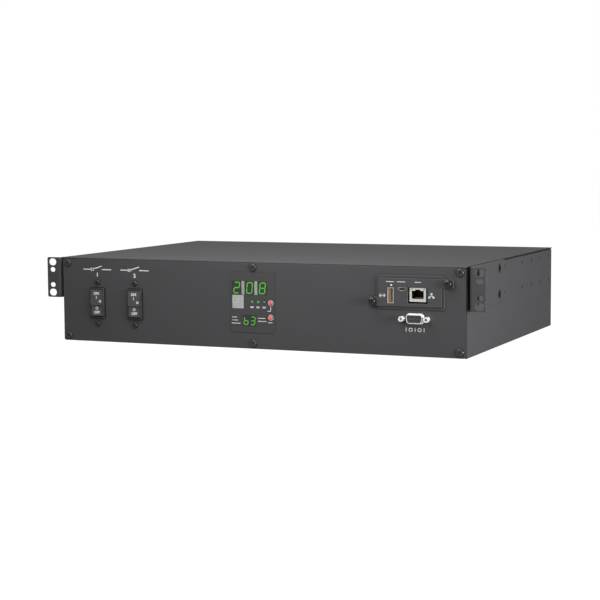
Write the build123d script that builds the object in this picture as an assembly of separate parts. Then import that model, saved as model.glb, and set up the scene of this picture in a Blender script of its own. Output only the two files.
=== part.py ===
from build123d import *
import math
import os

# Enclosure: two rack units high, origin at the centre of the footprint, +Y to the rear
body_width = 440.0
body_height = 87.0
body_depth = 312.0
sheet = 1.2
corner_round = 1.8
side_flange = 14.0
low_flange = 12.0
cover_lip = 9.3
cover_side_lip = 3.6
cover_seam = 0.8
cover_bend = 1.1
lip_gap = 1.0
slip = 0.3
front_plate = 2.0
rear_plate = 1.5
panel_inset = 1.0
panel_foot = 0.3
panel_drop = 1.5

# Panel screws, the same pattern on the front and the rear
screw_side_inset = 6.5
screw_mid_x = -0.9
screw_low_z = 5.7
screw_top_drop = 5.7
screw_r = 1.75
screw_head_r = 3.75
screw_head_h = 1.5
screw_length = 7.5
hole_gap = 0.15
thread_gap = 0.05
nut_r = 3.5
nut_h = 2.5

# Rack ears: the holes come 465.1 apart, and in pairs, as on a standard 19 inch rack
ear_hole_reach = 12.55
rack_pitch_z = 31.75
ear_mid_z = 65.67
ear_width = 18.5
ear_height = 41.7
ear_sheet = 2.0
ear_set_back = 0.5
ear_bend = 3.0
ear_gap = 2.2
ear_gap_depth = 10.0
ear_corner = 1.75
ear_side_length = 118.5
ear_big_hole_height = 7.3
ear_big_hole_length = 9.4
ear_small_hole_height = 4.9
ear_small_hole_length = 6.7
ear_screw_rise = 13.0
ear_screw_front = 30.0
ear_screw_rear = 101.5
ear_screw_r = 2.0
ear_head_r = 4.8
ear_socket_r = 2.6
ear_socket_depth = 1.15
ear_hole_rim_r = 5.0
ear_nut_h = 3.0
side_hole_r = 1.9
side_hole_front = 125.4
side_hole_back = 190.6
side_hole_pitch = 35.6
side_hole_count = 4

# Circuit breakers, with rockers that are flush when on
breaker_count = 2
breaker_inset = 41.8
breaker_pitch = 43.9
breaker_z = 40.3
breaker_depth = 48.0
breaker_width = 18.4
breaker_height = 53.0
bezel_width = 17.0
bezel_height = 31.4
bezel_proud = 2.5
bezel_corner = 1.0
pocket_wall = 1.0
pocket_rim = 1.2
pocket_depth = 10.5
rocker_gap = 0.3
rocker_top_gap = 0.5
rocker_low_gap = 1.1
rocker_split = 2.1
rocker_step = 1.0
rocker_corner = 1.2
rocker_pivot_depth = 4.0
rocker_tail = 5.0
rocker_tail_half = 3.0
rocker_top_edge = 3.5
rocker_low_edge = 4.0
pivot_r = 1.2
pivot_gap = 0.05
breaker_screw_rise = 21.5
breaker_screw_r = 1.5
breaker_screw_head_r = 2.75
breaker_screw_head_h = 1.8
breaker_screw_length = 7.0
terminal_width = 9.0
terminal_height = 10.0
terminal_length = 8.0
terminal_rise = 15.0

# Display: printed overlay, digits, lamps and two push buttons
overlay_left = -25.0
overlay_right = 23.0
overlay_low = 16.5
overlay_high = 76.2
overlay_thick = 0.4
overlay_corner = 1.0
digit_height = 11.8
digit_width = 7.9
digit_pitch = 14.05
digit_x = -18.5
digit_z = 60.8
digit_stroke = 1.25
digit_slant = 6.0
digit_window_width = 10.8
digit_window_height = 13.3
digit_border = 1.2
bank_digit_height = 8.5
bank_digit_width = 5.9
bank_digit_pitch = 7.5
bank_digit_x = -8.4
bank_digit_z = 28.1
bank_digit_stroke = 0.95
segment_proud = 0.15
lamp_r = 1.25
lamp_x = -1.7
lamp_pitch = 6.6
lamp_z = 47.1
small_lamp_r = 0.9
small_lamp_x = -20.4
small_lamp_pitch = 6.1
small_lamp_z = 48.0
lamp_proud = 0.2
button_x = 18.6
button_low_z = 31.9
button_pitch = 14.4
button_r = 2.0
button_gap = 0.3
button_proud = 1.2
button_flange_r = 3.0
button_flange_h = 0.8
button_back_gap = 0.6
button_travel = 0.5
button_nose_r = 1.2
button_end_gap = 0.7
switch_size = 6.0
switch_h = 3.0
switch_bore = 1.7
display_board_gap = 7.4
display_board_margin = 5.0
display_post_drop = 4.0
board_thick = 1.6
standoff_r = 2.6

# Management card: faceplate over a raised frame, ears held by thumbscrews
card_right_inset = 23.8
card_width = 63.5
card_low = 47.8
card_height = 27.1
card_corner = 2.0
card_plate = 1.2
card_frame_rim = 2.8
card_frame_thick = 1.0
card_frame_corner = 3.2
card_open_rim = 2.0
card_ear_width = 11.8
card_ear_height = 8.7
thumb_inset = 5.2
thumb_rise = 4.35
thumb_r = 3.8
thumb_h = 4.2
thumb_shank_r = 1.5
thumb_shank_length = 9.0
card_board_z = 66.0
card_board_depth = 92.0
card_board_inset = 1.5
card_front_gap = 0.5
jack_width = 16.3
jack_low = 52.8
jack_inset = 39.55
jack_depth = 16.0
jack_cut_gap = 1.7
jack_set_back = 0.4
jack_hole_width = 11.9
jack_hole_height = 7.6
jack_hole_rise = 2.8
jack_hole_depth = 13.0
jack_notch_width = 5.2
jack_notch_height = 2.4
jack_lamp_width = 3.0
jack_lamp_height = 2.2
usb_inset = 12.4
usb_width = 5.8
usb_low = 50.9
usb_wall = 0.4
usb_depth = 14.0
usb_tongue = 1.9
usb_tongue_offset = 0.9
micro_inset = 23.7
micro_width = 7.5
micro_height = 2.9
micro_wall = 0.35
micro_depth = 5.5
port_gap = 0.25
status_lamp_inset = 12.9
status_lamp_z = 68.1
status_lamp_r = 1.0
cage_sheet = 1.0
cage_depth = 96.0
rail_width = 3.6
rail_height = 5.0

# Serial port under the card
serial_inset = 36.4
serial_z = 36.3
serial_width = 16.9
serial_height = 8.4
serial_slope = 1.5
serial_corner = 2.2
serial_wall = 0.5
serial_proud = 4.0
serial_flare = 1.0
serial_flare_proud = 0.8
serial_flange_width = 30.8
serial_flange_height = 12.5
serial_flange_thick = 0.8
serial_body_depth = 9.0
serial_pin_pitch = 2.77
serial_pin_rise = 1.42
serial_pin_r = 0.55
jackscrew_pitch = 25.0
jackscrew_across = 4.8
jackscrew_length = 6.4
jackscrew_bore_r = 1.3
jackscrew_shank_r = 1.5
jackscrew_shank_length = 6.0

# Outlets on the rear, from the right side towards the cord gland
rear_right_inset = 20.0
outlet_low_z = 26.0
outlet_row_pitch = 35.0
outlet_pitch = 34.0
outlet_gland_room = 19.5
outlet_flange_margin = 3.7
outlet_flange_height = 29.0
outlet_flange_thick = 1.5
outlet_body_margin = 2.4
outlet_body_height = 25.6
outlet_body_depth = 28.0
outlet_open_width = 28.6
outlet_open_height = 20.6
outlet_open_depth = 18.0
outlet_chamfer = 5.0
outlet_core_width = 23.8
outlet_core_height = 15.8
outlet_slot_width = 2.6
outlet_slot_height = 5.0
outlet_slot_reach = 7.0
outlet_slot_rise = 2.0
contact_wall = 0.5
contact_set_back = 2.0
big_outlet_gap = 24.0
big_outlet_z = 43.5
big_flange_width = 42.0
big_flange_height = 38.0
big_open_width = 32.0
big_open_height = 26.0
big_core_width = 26.0
big_core_height = 20.0
big_corner = 3.0
big_slot_width = 8.4
big_slot_height = 2.6
big_slot_reach = 6.5
big_slot_rise = 4.0
gland_left_inset = 31.0
gland_bore_r = 9.0
gland_body_r = 12.0
gland_hex_across = 27.0
gland_dome_r = 12.6
gland_dome_length = 16.0
gland_hex_length = 6.0
gland_thread_length = 12.0
gland_nut_h = 5.0
ground_stud_z = 70.0
ground_stud_r = 2.5
ground_stud_length = 12.0
ground_nut_across = 8.0
ground_nut_h = 4.0

# Boards and parts inside
relay_gap = 2.4
relay_board_low = 12.4
relay_board_high = 75.0
relay_width = 19.0
relay_height = 15.5
relay_length = 16.0
main_board_right_inset = 20.0
main_board_reach = 41.0
main_board_setback = 22.0
main_board_depth = 110.0
floor_standoff_h = 10.0
supply_board_gap = 6.0
supply_board_width = 116.0
supply_board_setback = 60.0
supply_board_depth = 96.0
board_hole_inset = 6.0
board_margin = 4.0
board_screw_r = 1.5
board_screw_head_r = 2.8
board_screw_head_h = 1.6
transformer_width = 44.0
transformer_depth = 36.0
transformer_height = 38.0
coil_overhang = 6.0
capacitor_r = 8.0
capacitor_height = 30.0
capacitor_pitch = 17.0
ring_r = 15.0
ring_bore_r = 6.5
ring_thick = 12.0
ring_pitch = 34.0
block_poles = 3
block_pitch = 13.0
block_depth = 30.0
block_height = 24.0
block_inset = 68.0
block_screw_r = 3.0
wire_r = 2.1
wire_grip = 4.0
ribbon_thick = 1.0
ribbon_width = 18.0
ribbon_bend = 5.0
header_depth = 8.0
header_height = 8.0
display_ribbon_x = 18.0
display_ribbon_inset = 32.0
display_ribbon_z = 32.0
front_header_gap = 12.0
rear_header_gap = 16.0
control_ribbon_z = 40.0
control_ribbon_1_inset = 11.0
control_ribbon_2_shift = 18.0
riser_margin = 9.0
socket_depth = 9.0
socket_height = 8.0
socket_grip = 4.0

# Landmarks that follow from the sizes
front_y = -body_depth / 2
rear_y = body_depth / 2
half_width = body_width / 2
tray_front = front_y + front_plate
tray_rear = rear_y - rear_plate
cover_under = body_height - sheet
tray_top = cover_under - cover_seam
panel_top = body_height - panel_drop
panel_half = half_width - panel_inset
window_half = half_width - side_flange
screw_top_z = body_height - screw_top_drop
breaker_places = [breaker_inset - half_width + i * breaker_pitch for i in range(breaker_count)]
bezel_y = front_y - bezel_proud
pivot_y = bezel_y + rocker_pivot_depth
card_right = half_width - card_right_inset
card_left = card_right - card_width
card_high = card_low + card_height
jack_x = card_left + jack_inset
usb_x = card_left + usb_inset
micro_x = card_left + micro_inset
status_lamp_x = card_left + status_lamp_inset
serial_x = card_left + serial_inset
card_frame_y = front_y - card_frame_thick
card_face_y = card_frame_y - card_plate
thumb_places = [
    (card_right + card_ear_width - thumb_inset, card_high - thumb_rise),
    (card_left - card_ear_width + thumb_inset + 0.6, card_low + thumb_rise),
]
board_y = tray_front + display_board_gap
floor_board_z = sheet + floor_standoff_h
digit_places = [digit_x + i * digit_pitch for i in range(3)]
bank_digit_places = [bank_digit_x + i * bank_digit_pitch for i in range(2)]
lamp_places = [lamp_x + i * lamp_pitch for i in range(3)]
small_lamp_places = [small_lamp_x + i * small_lamp_pitch for i in range(2)]
button_places = [button_low_z + i * button_pitch for i in range(2)]
row_room = (body_width - rear_right_inset - 3 * big_outlet_gap - big_flange_width / 2 - outlet_gland_room
            - gland_left_inset)
row_end_room = outlet_open_width + 2 * outlet_flange_margin - outlet_pitch
outlet_per_row = int((row_room / 2 - row_end_room) / outlet_pitch)
row_width = outlet_pitch * (outlet_per_row - 1) + outlet_open_width
module_half = row_width / 2 + outlet_flange_margin
bank_2_x = half_width - rear_right_inset - module_half
big_outlet_2_x = bank_2_x - module_half - big_outlet_gap
bank_1_x = big_outlet_2_x - big_outlet_gap - module_half
big_outlet_1_x = bank_1_x - module_half - big_outlet_gap
outlet_rows = [outlet_low_z, outlet_low_z + outlet_row_pitch]
gland_x = gland_left_inset - half_width
relay_board_y = rear_y - outlet_body_depth - relay_gap - board_thick
main_board_left = min(bank_1_x + main_board_reach, display_ribbon_x - display_ribbon_inset)
main_board_width = half_width - main_board_right_inset - main_board_left
main_board_front = tray_front + main_board_setback
supply_board_left = main_board_left - supply_board_gap - supply_board_width
supply_board_front = tray_front + supply_board_setback
control_ribbon_1_x = main_board_left + control_ribbon_1_inset
control_ribbon_2_x = bank_2_x + control_ribbon_2_shift
block_y = rear_y - block_inset


def block(x0, x1, y0, y1, z0, z1):
    """Box between two corners."""
    return Pos((x0 + x1) / 2, (y0 + y1) / 2, (z0 + z1) / 2) * Box(x1 - x0, y1 - y0, z1 - z0)


def rod_x(y, z, radius, x0, x1):
    """Cylinder along X."""
    return Pos((x0 + x1) / 2, y, z) * Rot(0, 90, 0) * Cylinder(radius, x1 - x0)


def rod_y(x, z, radius, y0, y1):
    """Cylinder along Y."""
    return Pos(x, (y0 + y1) / 2, z) * Rot(90, 0, 0) * Cylinder(radius, y1 - y0)


def rod_z(x, y, radius, z0, z1):
    """Cylinder along Z."""
    return Pos(x, y, (z0 + z1) / 2) * Cylinder(radius, z1 - z0)


def front_view(outline, y0, y1):
    """Outline drawn as seen from the front, made solid between two depths."""
    return Pos(0, y1, 0) * Rot(90, 0, 0) * extrude(outline, y1 - y0, dir=(0, 0, 1))


def rounded(x0, x1, z0, z1, radius):
    """Rounded rectangle drawn as seen from the front."""
    return Pos((x0 + x1) / 2, (z0 + z1) / 2) * RectangleRounded(x1 - x0, z1 - z0, radius)


def hexagon(x, z, across):
    """Hexagon drawn as seen from the front, with its size across the flats."""
    return Pos(x, z) * RegularPolygon(across / 2, 6, major_radius=False)


def group(shapes):
    """Several separate solids kept as one sub-part."""
    return Compound(children=[solid for shape in shapes for solid in shape.solids()])


def save(shape, name):
    """One file for each sub-part."""
    export_step(shape, f"parts/{name}.step")


def screw(x, z, face_y, out, radius, length, head_r, head_h):
    """Pan head screw along Y with a cross recess; out is -1 with its head at the front, 1 at the rear."""
    head = Cylinder(head_r, head_h, align=(Align.CENTER, Align.CENTER, Align.MIN))
    head = fillet(head.edges().sort_by(Axis.Z)[-1], head_h * 0.6)
    arm = head_r * 1.1
    slot = head_r * 0.28
    cut = Box(arm, slot, head_h) + Box(slot, arm, head_h)
    head = head - Pos(0, 0, head_h) * cut
    shank = Cylinder(radius, length, align=(Align.CENTER, Align.CENTER, Align.MAX))
    return Pos(x, face_y, z) * Rot(90 if out < 0 else -90, 0, 0) * (head + shank)


def nut(x, z, y0, y1, radius, bore):
    """Round clinch nut along Y."""
    return rod_y(x, z, radius, y0, y1) - rod_y(x, z, bore, y0 - 1, y1 + 1)


def mirrored(shape):
    """The same piece on the other side of the body."""
    return mirror(shape, Plane.YZ)


# Sheet metal
def panel_screw_places():
    """Places of the panel screws, as X and Z."""
    reach = half_width - screw_side_inset
    columns = (-reach, screw_mid_x, reach)
    return [(x, z) for x in columns for z in (screw_low_z, screw_top_z)]


def side_places():
    """Places of the ear screws on one side, as Y and Z."""
    rows = (ear_mid_z - ear_screw_rise, ear_mid_z + ear_screw_rise)
    return [(front_y + d, z) for d in (ear_screw_front, ear_screw_rear) for z in rows]


def side_hole_places():
    """Places of the open holes behind the ears, as Y and Z."""
    depths = [side_hole_front] + [side_hole_back + i * side_hole_pitch for i in range(side_hole_count)]
    rows = (ear_mid_z - ear_screw_rise, ear_mid_z + ear_screw_rise)
    return [(front_y + d, z) for d in depths for z in rows]


def chassis_tray():
    """Floor, two sides and the inward flanges that carry both panels, folded from one sheet."""
    mid_y = (tray_front + tray_rear) / 2
    length = tray_rear - tray_front
    outer = Pos(0, mid_y) * extrude(RectangleRounded(body_width, length, corner_round), tray_top)
    low_edges = outer.edges().filter_by(GeomType.LINE).filter_by_position(Axis.Z, -0.01, 0.01)
    outer = chamfer(low_edges.filter_by(Axis.Y), sheet / 2)
    inner = Pos(0, mid_y, sheet) * extrude(
        RectangleRounded(body_width - 2 * sheet, length - 2 * sheet, corner_round - sheet), tray_top)
    tray = outer - inner
    window = block(-window_half, window_half, tray_front - 1, tray_rear + 1, low_flange, tray_top + 1)
    cuts = [window]
    bore = screw_r + hole_gap
    for x, z in panel_screw_places():
        cuts.append(rod_y(x, z, bore, tray_front - 1, tray_front + sheet + 1))
        cuts.append(rod_y(x, z, bore, tray_rear - sheet - 1, tray_rear + 1))
    for y, z in side_places():
        cuts.append(rod_x(y, z, ear_screw_r + hole_gap, -half_width - 1, half_width + 1))
    for y, z in side_hole_places():
        cuts.append(rod_x(y, z, side_hole_r, -half_width - 1, half_width + 1))
    return tray - cuts


def top_cover():
    """Flat cover with lips folded down behind both panels and inside the sides."""
    plate = block(-half_width, half_width, tray_front, tray_rear, cover_under, body_height)
    lip_half = window_half - lip_gap
    lip_low = cover_under - cover_lip
    lips = [
        block(-lip_half, lip_half, tray_front, tray_front + sheet, lip_low, cover_under),
        block(-lip_half, lip_half, tray_rear - sheet, tray_rear, lip_low, cover_under),
    ]
    side_outer = half_width - sheet - slip
    y0 = tray_front + sheet + lip_gap
    y1 = tray_rear - sheet - lip_gap
    low = cover_under - cover_side_lip
    for side in (-1, 1):
        x0, x1 = sorted((side * side_outer, side * (side_outer - sheet)))
        lips.append(block(x0, x1, y0, y1, low, cover_under))
    cover = plate
    for lip in lips:
        cover = cover + lip
    edges = cover.edges().filter_by(Axis.X).filter_by_position(Axis.Z, body_height - 0.01, body_height + 0.01)
    cover = fillet(edges, cover_bend)
    cuts = []
    for y in (tray_front, tray_rear):
        cuts.append(rod_y(screw_mid_x, screw_top_z, screw_r + hole_gap, y - sheet - 1, y + sheet + 1))
    return cover - cuts


def ear_bracket():
    """Right ear: a strip along the side, folded out by a gap at its front, and the flange that bolts to the rack."""
    ear_y = front_y + ear_set_back
    inner = half_width + ear_gap
    outer = half_width + ear_width
    web_y = ear_y + ear_gap_depth
    low = ear_mid_z - ear_height / 2
    high = ear_mid_z + ear_height / 2
    flange = front_view(rounded(inner, outer, low, high, ear_corner), ear_y, ear_y + ear_sheet)
    flange = flange + block(inner, inner + ear_width / 2, ear_y, ear_y + ear_sheet, low, high)
    leg = block(inner, inner + ear_sheet, ear_y, web_y + ear_sheet, low, high)
    web = block(half_width, inner + ear_sheet, web_y, web_y + ear_sheet, low, high)
    strip = block(half_width, half_width + ear_sheet, web_y, front_y + ear_side_length, low, high)
    bracket = flange + leg + web + strip
    folds = [
        (inner, ear_y, ear_bend),
        (inner + ear_sheet, ear_y + ear_sheet, ear_bend - ear_sheet),
        (inner + ear_sheet, web_y + ear_sheet, ear_sheet),
        (half_width, web_y, ear_sheet),
    ]
    for x, y, radius in folds:
        edges = bracket.edges().filter_by(Axis.Z)
        bracket = fillet(edges.sort_by_distance((x, y, ear_mid_z))[0], radius)
    ends = bracket.edges().filter_by(Axis.X).sort_by(Axis.Y)[-2:]
    bracket = fillet(ends, ear_corner)
    cuts = []
    slots = [
        (rack_pitch_z / 2, ear_big_hole_length, ear_big_hole_height),
        (rack_pitch_z / 4, ear_small_hole_length, ear_small_hole_height),
    ]
    for rise, length, height in slots:
        for side in (-1, 1):
            outline = Pos(half_width + ear_hole_reach, ear_mid_z + side * rise) * SlotOverall(length, height)
            cuts.append(front_view(outline, ear_y - 1, ear_y + ear_sheet + 1))
    for y, z in side_places():
        sink = Cone(ear_screw_r + hole_gap, ear_hole_rim_r, ear_sheet)
        cuts.append(Pos(half_width + ear_sheet / 2, y, z) * Rot(0, 90, 0) * sink)
        cuts.append(rod_x(y, z, ear_screw_r + hole_gap, half_width - 1, half_width + ear_sheet))
    return bracket - cuts


def ear_screw(y, z):
    """Countersunk screw with a hexagon socket, into the right side."""
    drop = ear_sheet * (ear_hole_rim_r - ear_head_r) / (ear_hole_rim_r - ear_screw_r - hole_gap)
    head_h = ear_sheet - drop
    head = Cone(ear_screw_r, ear_head_r, head_h, align=(Align.CENTER, Align.CENTER, Align.MAX))
    length = ear_sheet + sheet + ear_nut_h
    shank = Cylinder(ear_screw_r, length, align=(Align.CENTER, Align.CENTER, Align.MAX))
    socket = extrude(RegularPolygon(ear_socket_r, 6), -ear_socket_depth)
    return Pos(half_width + ear_sheet - drop, y, z) * Rot(0, 90, 0) * (head + shank - socket)


def ear_screws():
    """Four screws on each side."""
    right = [ear_screw(y, z) for y, z in side_places()]
    return group(right + [mirrored(s) for s in right])


def clinch_nuts():
    """Nuts pressed into the tray, the cover and the card cage for every screw that enters them."""
    nuts = []
    bore = screw_r + thread_gap
    for x, z in panel_screw_places():
        nuts.append(nut(x, z, tray_front + sheet, tray_front + sheet + nut_h, nut_r, bore))
        nuts.append(nut(x, z, tray_rear - sheet - nut_h, tray_rear - sheet, nut_r, bore))
    x1 = half_width - sheet
    for y, z in side_places():
        ring = rod_x(y, z, nut_r, x1 - ear_nut_h, x1) - rod_x(y, z, ear_screw_r + thread_gap, x1 - 9, x1 + 1)
        nuts.append(ring)
        nuts.append(mirrored(ring))
    y0 = tray_front + cage_sheet
    for x, z in thumb_places:
        nuts.append(nut(x, z, y0, y0 + nut_h, nut_r - 2 * slip, thumb_shank_r + thread_gap))
    return group(nuts)


def panel_screws(face_y, out):
    """Six low pan head screws of one panel."""
    return group([
        screw(x, z, face_y, out, screw_r, screw_length, screw_head_r, screw_head_h)
        for x, z in panel_screw_places()])


def serial_outline(grow):
    """D shaped outline of the serial port, wider at its top."""
    top = serial_width / 2
    low = top - serial_slope
    rise = serial_height / 2
    shape = Polygon((-top, rise), (-low, -rise), (low, -rise), (top, rise), align=None)
    shape = fillet(shape.vertices(), serial_corner)
    if grow:
        shape = offset(shape, amount=grow)
    return Pos(serial_x, serial_z) * shape


def front_panel():
    """Front plate with its openings for the breakers, display, card and serial port."""
    y0 = front_y
    y1 = tray_front
    panel = front_view(rounded(-panel_half, panel_half, panel_foot, panel_top, panel_inset * 2), y0, y1)
    before = y0 - 1
    behind = y1 + 1
    cuts = []
    for x, z in panel_screw_places():
        cuts.append(rod_y(x, z, screw_r + hole_gap, before, behind))
    half_w = bezel_width / 2 + slip
    half_h = bezel_height / 2 + slip
    for x in breaker_places:
        hole = rounded(x - half_w, x + half_w, breaker_z - half_h, breaker_z + half_h, bezel_corner)
        cuts.append(front_view(hole, before, behind))
        for side in (-1, 1):
            z = breaker_z + side * breaker_screw_rise
            cuts.append(rod_y(x, z, breaker_screw_r + hole_gap, before, behind))
    for box in (voltage_box(slip), bank_box(slip)):
        cuts.append(block(box[0], box[1], before, behind, box[2], box[3]))
    for x in lamp_places:
        cuts.append(rod_y(x, lamp_z, lamp_r + slip, before, behind))
    for x in small_lamp_places:
        cuts.append(rod_y(x, small_lamp_z, small_lamp_r + slip, before, behind))
    for z in button_places:
        cuts.append(rod_y(button_x, z, button_r + button_gap, before, behind))
    cuts.append(front_view(card_opening(), before, behind))
    for x, z in thumb_places:
        cuts.append(rod_y(x, z, thumb_shank_r + slip, before, behind))
    cuts.append(front_view(serial_outline(serial_flare + slip), before, behind))
    for side in (-1, 1):
        x = serial_x + side * jackscrew_pitch / 2
        cuts.append(rod_y(x, serial_z, jackscrew_shank_r + hole_gap, before, behind))
    return panel - cuts


def rear_panel():
    """Rear plate with its openings for the outlets, the cord gland and the ground stud."""
    panel = front_view(rounded(-panel_half, panel_half, panel_foot, panel_top, panel_inset * 2), tray_rear, rear_y)
    before = tray_rear - 1
    behind = rear_y + 1
    cuts = []
    for x, z in panel_screw_places():
        cuts.append(rod_y(x, z, screw_r + hole_gap, before, behind))
    half_w = row_width / 2 + outlet_body_margin + slip
    half_h = outlet_body_height / 2 + slip
    for x in (bank_1_x, bank_2_x):
        for z in outlet_rows:
            cuts.append(block(x - half_w, x + half_w, before, behind, z - half_h, z + half_h))
    half_w = big_open_width / 2 + outlet_body_margin + slip
    half_h = big_open_height / 2 + outlet_body_margin + slip
    for x in (big_outlet_1_x, big_outlet_2_x):
        cuts.append(block(x - half_w, x + half_w, before, behind, big_outlet_z - half_h, big_outlet_z + half_h))
    cuts.append(rod_y(gland_x, big_outlet_z, gland_body_r + hole_gap, before, behind))
    cuts.append(rod_y(gland_x, ground_stud_z, ground_stud_r + hole_gap, before, behind))
    for x, z in relay_standoff_places():
        cuts.append(rod_y(x, z, board_screw_r + hole_gap, before, behind))
    return panel - cuts


# Circuit breakers
def breaker_case(x):
    """Moulded case behind the panel, with the bezel and the open pocket that the rocker sits in."""
    half_w = breaker_width / 2
    half_h = breaker_height / 2
    back = tray_front + breaker_depth
    case = block(x - half_w, x + half_w, tray_front, back, breaker_z - half_h, breaker_z + half_h)
    case = chamfer(case.edges().filter_by(Axis.X), pocket_wall)
    half_w = bezel_width / 2
    half_h = bezel_height / 2
    neck = rounded(x - half_w, x + half_w, breaker_z - half_h, breaker_z + half_h, bezel_corner)
    neck = front_view(neck, bezel_y, tray_front)
    front_edges = neck.edges().filter_by_position(Axis.Y, bezel_y - 0.01, bezel_y + 0.01)
    neck = chamfer(front_edges, pocket_wall * 0.35)
    pocket_w = half_w - pocket_wall
    pocket_h = half_h - pocket_rim
    pocket = block(x - pocket_w, x + pocket_w, bezel_y - 1, bezel_y + pocket_depth,
                   breaker_z - pocket_h, breaker_z + pocket_h)
    pivot = rod_x(pivot_y, breaker_z, pivot_r + pivot_gap, x - half_w, x + half_w)
    cuts = [pocket, pivot]
    for side in (-1, 1):
        z = breaker_z + side * breaker_screw_rise
        cuts.append(rod_y(x, z, breaker_screw_r + thread_gap, tray_front - 1, tray_front + breaker_screw_length))
    return case + neck - cuts


def breaker_rocker(x):
    """Rocker with a flush upper half and a stepped lower half, on two stub pins; it rests in the on position."""
    half_w = bezel_width / 2 - pocket_wall - rocker_gap
    pocket_h = bezel_height / 2 - pocket_rim
    top = pocket_h - rocker_top_gap
    low = -pocket_h + rocker_low_gap
    face = rocker_pivot_depth
    outline = Polygon(
        (-face, top), (-face, -rocker_split), (-face + rocker_step, -rocker_split),
        (-face + rocker_step, low), (rocker_low_edge - face, low + rocker_gap),
        (rocker_tail, -rocker_tail_half), (rocker_tail, rocker_tail_half),
        (rocker_top_edge - face, top), align=None)
    body = extrude(Plane.YZ * outline, half_w, both=True)
    corners = body.edges().filter_by(Axis.Y).filter_by_position(Axis.Y, -face, 0)
    body = fillet(corners.sort_by(Axis.Z)[:2], rocker_corner)
    top_edge = body.edges().filter_by(Axis.X).sort_by_distance((0, -face, top))[0]
    body = chamfer(top_edge, rocker_gap)
    pin_reach = bezel_width / 2 - pivot_gap * 2
    body = body + rod_x(0, 0, pivot_r, -pin_reach, pin_reach)
    return Pos(x, pivot_y, breaker_z) * body


def breaker_screws():
    """Two screws through the panel into each breaker."""
    screws = []
    for x in breaker_places:
        for side in (-1, 1):
            z = breaker_z + side * breaker_screw_rise
            screws.append(screw(x, z, front_y, -1, breaker_screw_r, breaker_screw_length,
                                breaker_screw_head_r, breaker_screw_head_h))
    return group(screws)


def wire_terminals():
    """Line and load lug of each breaker, and the clamping screws of the terminal block."""
    back = tray_front + breaker_depth
    half_w = terminal_width / 2
    half_h = terminal_height / 2
    pieces = []
    for x in breaker_places:
        for side in (-1, 1):
            z = breaker_z + side * terminal_rise
            lug = block(x - half_w, x + half_w, back, back + terminal_length, z - half_h, z + half_h)
            hole = rod_y(x, z, wire_r + hole_gap, back + 2, back + terminal_length + 1)
            pieces.append(lug - hole)
    return group(pieces + terminal_screws())


# Display
def voltage_box(grow):
    """Left, right, low and high side of the voltage display, grown by a clearance."""
    half_w = digit_window_width / 2 + digit_border
    half_h = digit_window_height / 2 + digit_border
    return (digit_places[0] - half_w - grow + digit_border, digit_places[-1] + half_w + grow,
            digit_z - half_h - grow, digit_z + half_h + grow)


def bank_box(grow):
    """Left, right, low and high side of the bank display, grown by a clearance."""
    half_w = bank_digit_pitch / 2 + digit_border
    half_h = bank_digit_height / 2 + 2 * digit_border
    return (bank_digit_places[0] - half_w - grow, bank_digit_places[-1] + half_w + grow,
            bank_digit_z - half_h - grow, bank_digit_z + half_h + grow)


def display_overlay():
    """Printed film on the panel, with clear windows for the digits and holes for lamps and buttons."""
    y0 = front_y - overlay_thick
    film = front_view(rounded(overlay_left, overlay_right, overlay_low, overlay_high, overlay_corner), y0, front_y)
    before = y0 - 1
    behind = front_y + 1
    cuts = []
    half_w = digit_window_width / 2
    half_h = digit_window_height / 2
    for x in digit_places:
        cuts.append(block(x - half_w, x + half_w, before, behind, digit_z - half_h, digit_z + half_h))
    half_h = bank_digit_height / 2 + digit_border
    x0 = bank_digit_places[0] - bank_digit_pitch / 2
    x1 = bank_digit_places[-1] + bank_digit_pitch / 2
    cuts.append(block(x0, x1, before, behind, bank_digit_z - half_h, bank_digit_z + half_h))
    for x in lamp_places:
        cuts.append(rod_y(x, lamp_z, lamp_r + hole_gap, before, behind))
    for x in small_lamp_places:
        cuts.append(rod_y(x, small_lamp_z, small_lamp_r + hole_gap, before, behind))
    for z in button_places:
        cuts.append(rod_y(button_x, z, button_r + button_gap, before, behind))
    return film - cuts


def segment(points, x, z):
    """One lit bar of a digit, lying on the display face."""
    lean = math.tan(math.radians(digit_slant))
    moved = [(px + pz * lean + x, pz + z) for px, pz in points]
    return front_view(Polygon(*moved, align=None), front_y - segment_proud, front_y)


def digit(x, z, width, height, stroke, lit):
    """Seven segment digit; lit holds the letters of its lit bars, a to g."""
    w = width / 2 - stroke / 2 - stroke * 0.35
    h = height / 2 - stroke / 2
    s = stroke / 2
    gap = stroke * 0.12
    bars = []
    for letter, level in (("a", h), ("g", 0.0), ("d", -h)):
        if letter in lit:
            bars.append([(-w + gap, level), (-w + gap + s, level + s), (w - gap - s, level + s),
                         (w - gap, level), (w - gap - s, level - s), (-w + gap + s, level - s)])
    for letter, side, low in (("f", -w, 0.0), ("b", w, 0.0), ("e", -w, -h), ("c", w, -h)):
        if letter in lit:
            bars.append([(side, low + gap), (side + s, low + gap + s), (side + s, low + h - gap - s),
                         (side, low + h - gap), (side - s, low + h - gap - s), (side - s, low + gap + s)])
    return [segment(points, x, z) for points in bars]


def voltage_segments():
    """Lit bars of the three voltage digits."""
    bars = []
    for x, lit in zip(digit_places, ("abged", "abcdef", "abcdefg")):
        bars += digit(x, digit_z, digit_width, digit_height, digit_stroke, lit)
    return group(bars)


def bank_segments():
    """Lit bars of the two bank digits."""
    bars = []
    for x, lit in zip(bank_digit_places, ("cdefg", "abcdg")):
        bars += digit(x, bank_digit_z, bank_digit_width, bank_digit_height, bank_digit_stroke, lit)
    return group(bars)


def display_body(box):
    """Black body of a digit display, from the overlay back to its board."""
    return block(box[0], box[1], front_y, board_y, box[2], box[3])


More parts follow.
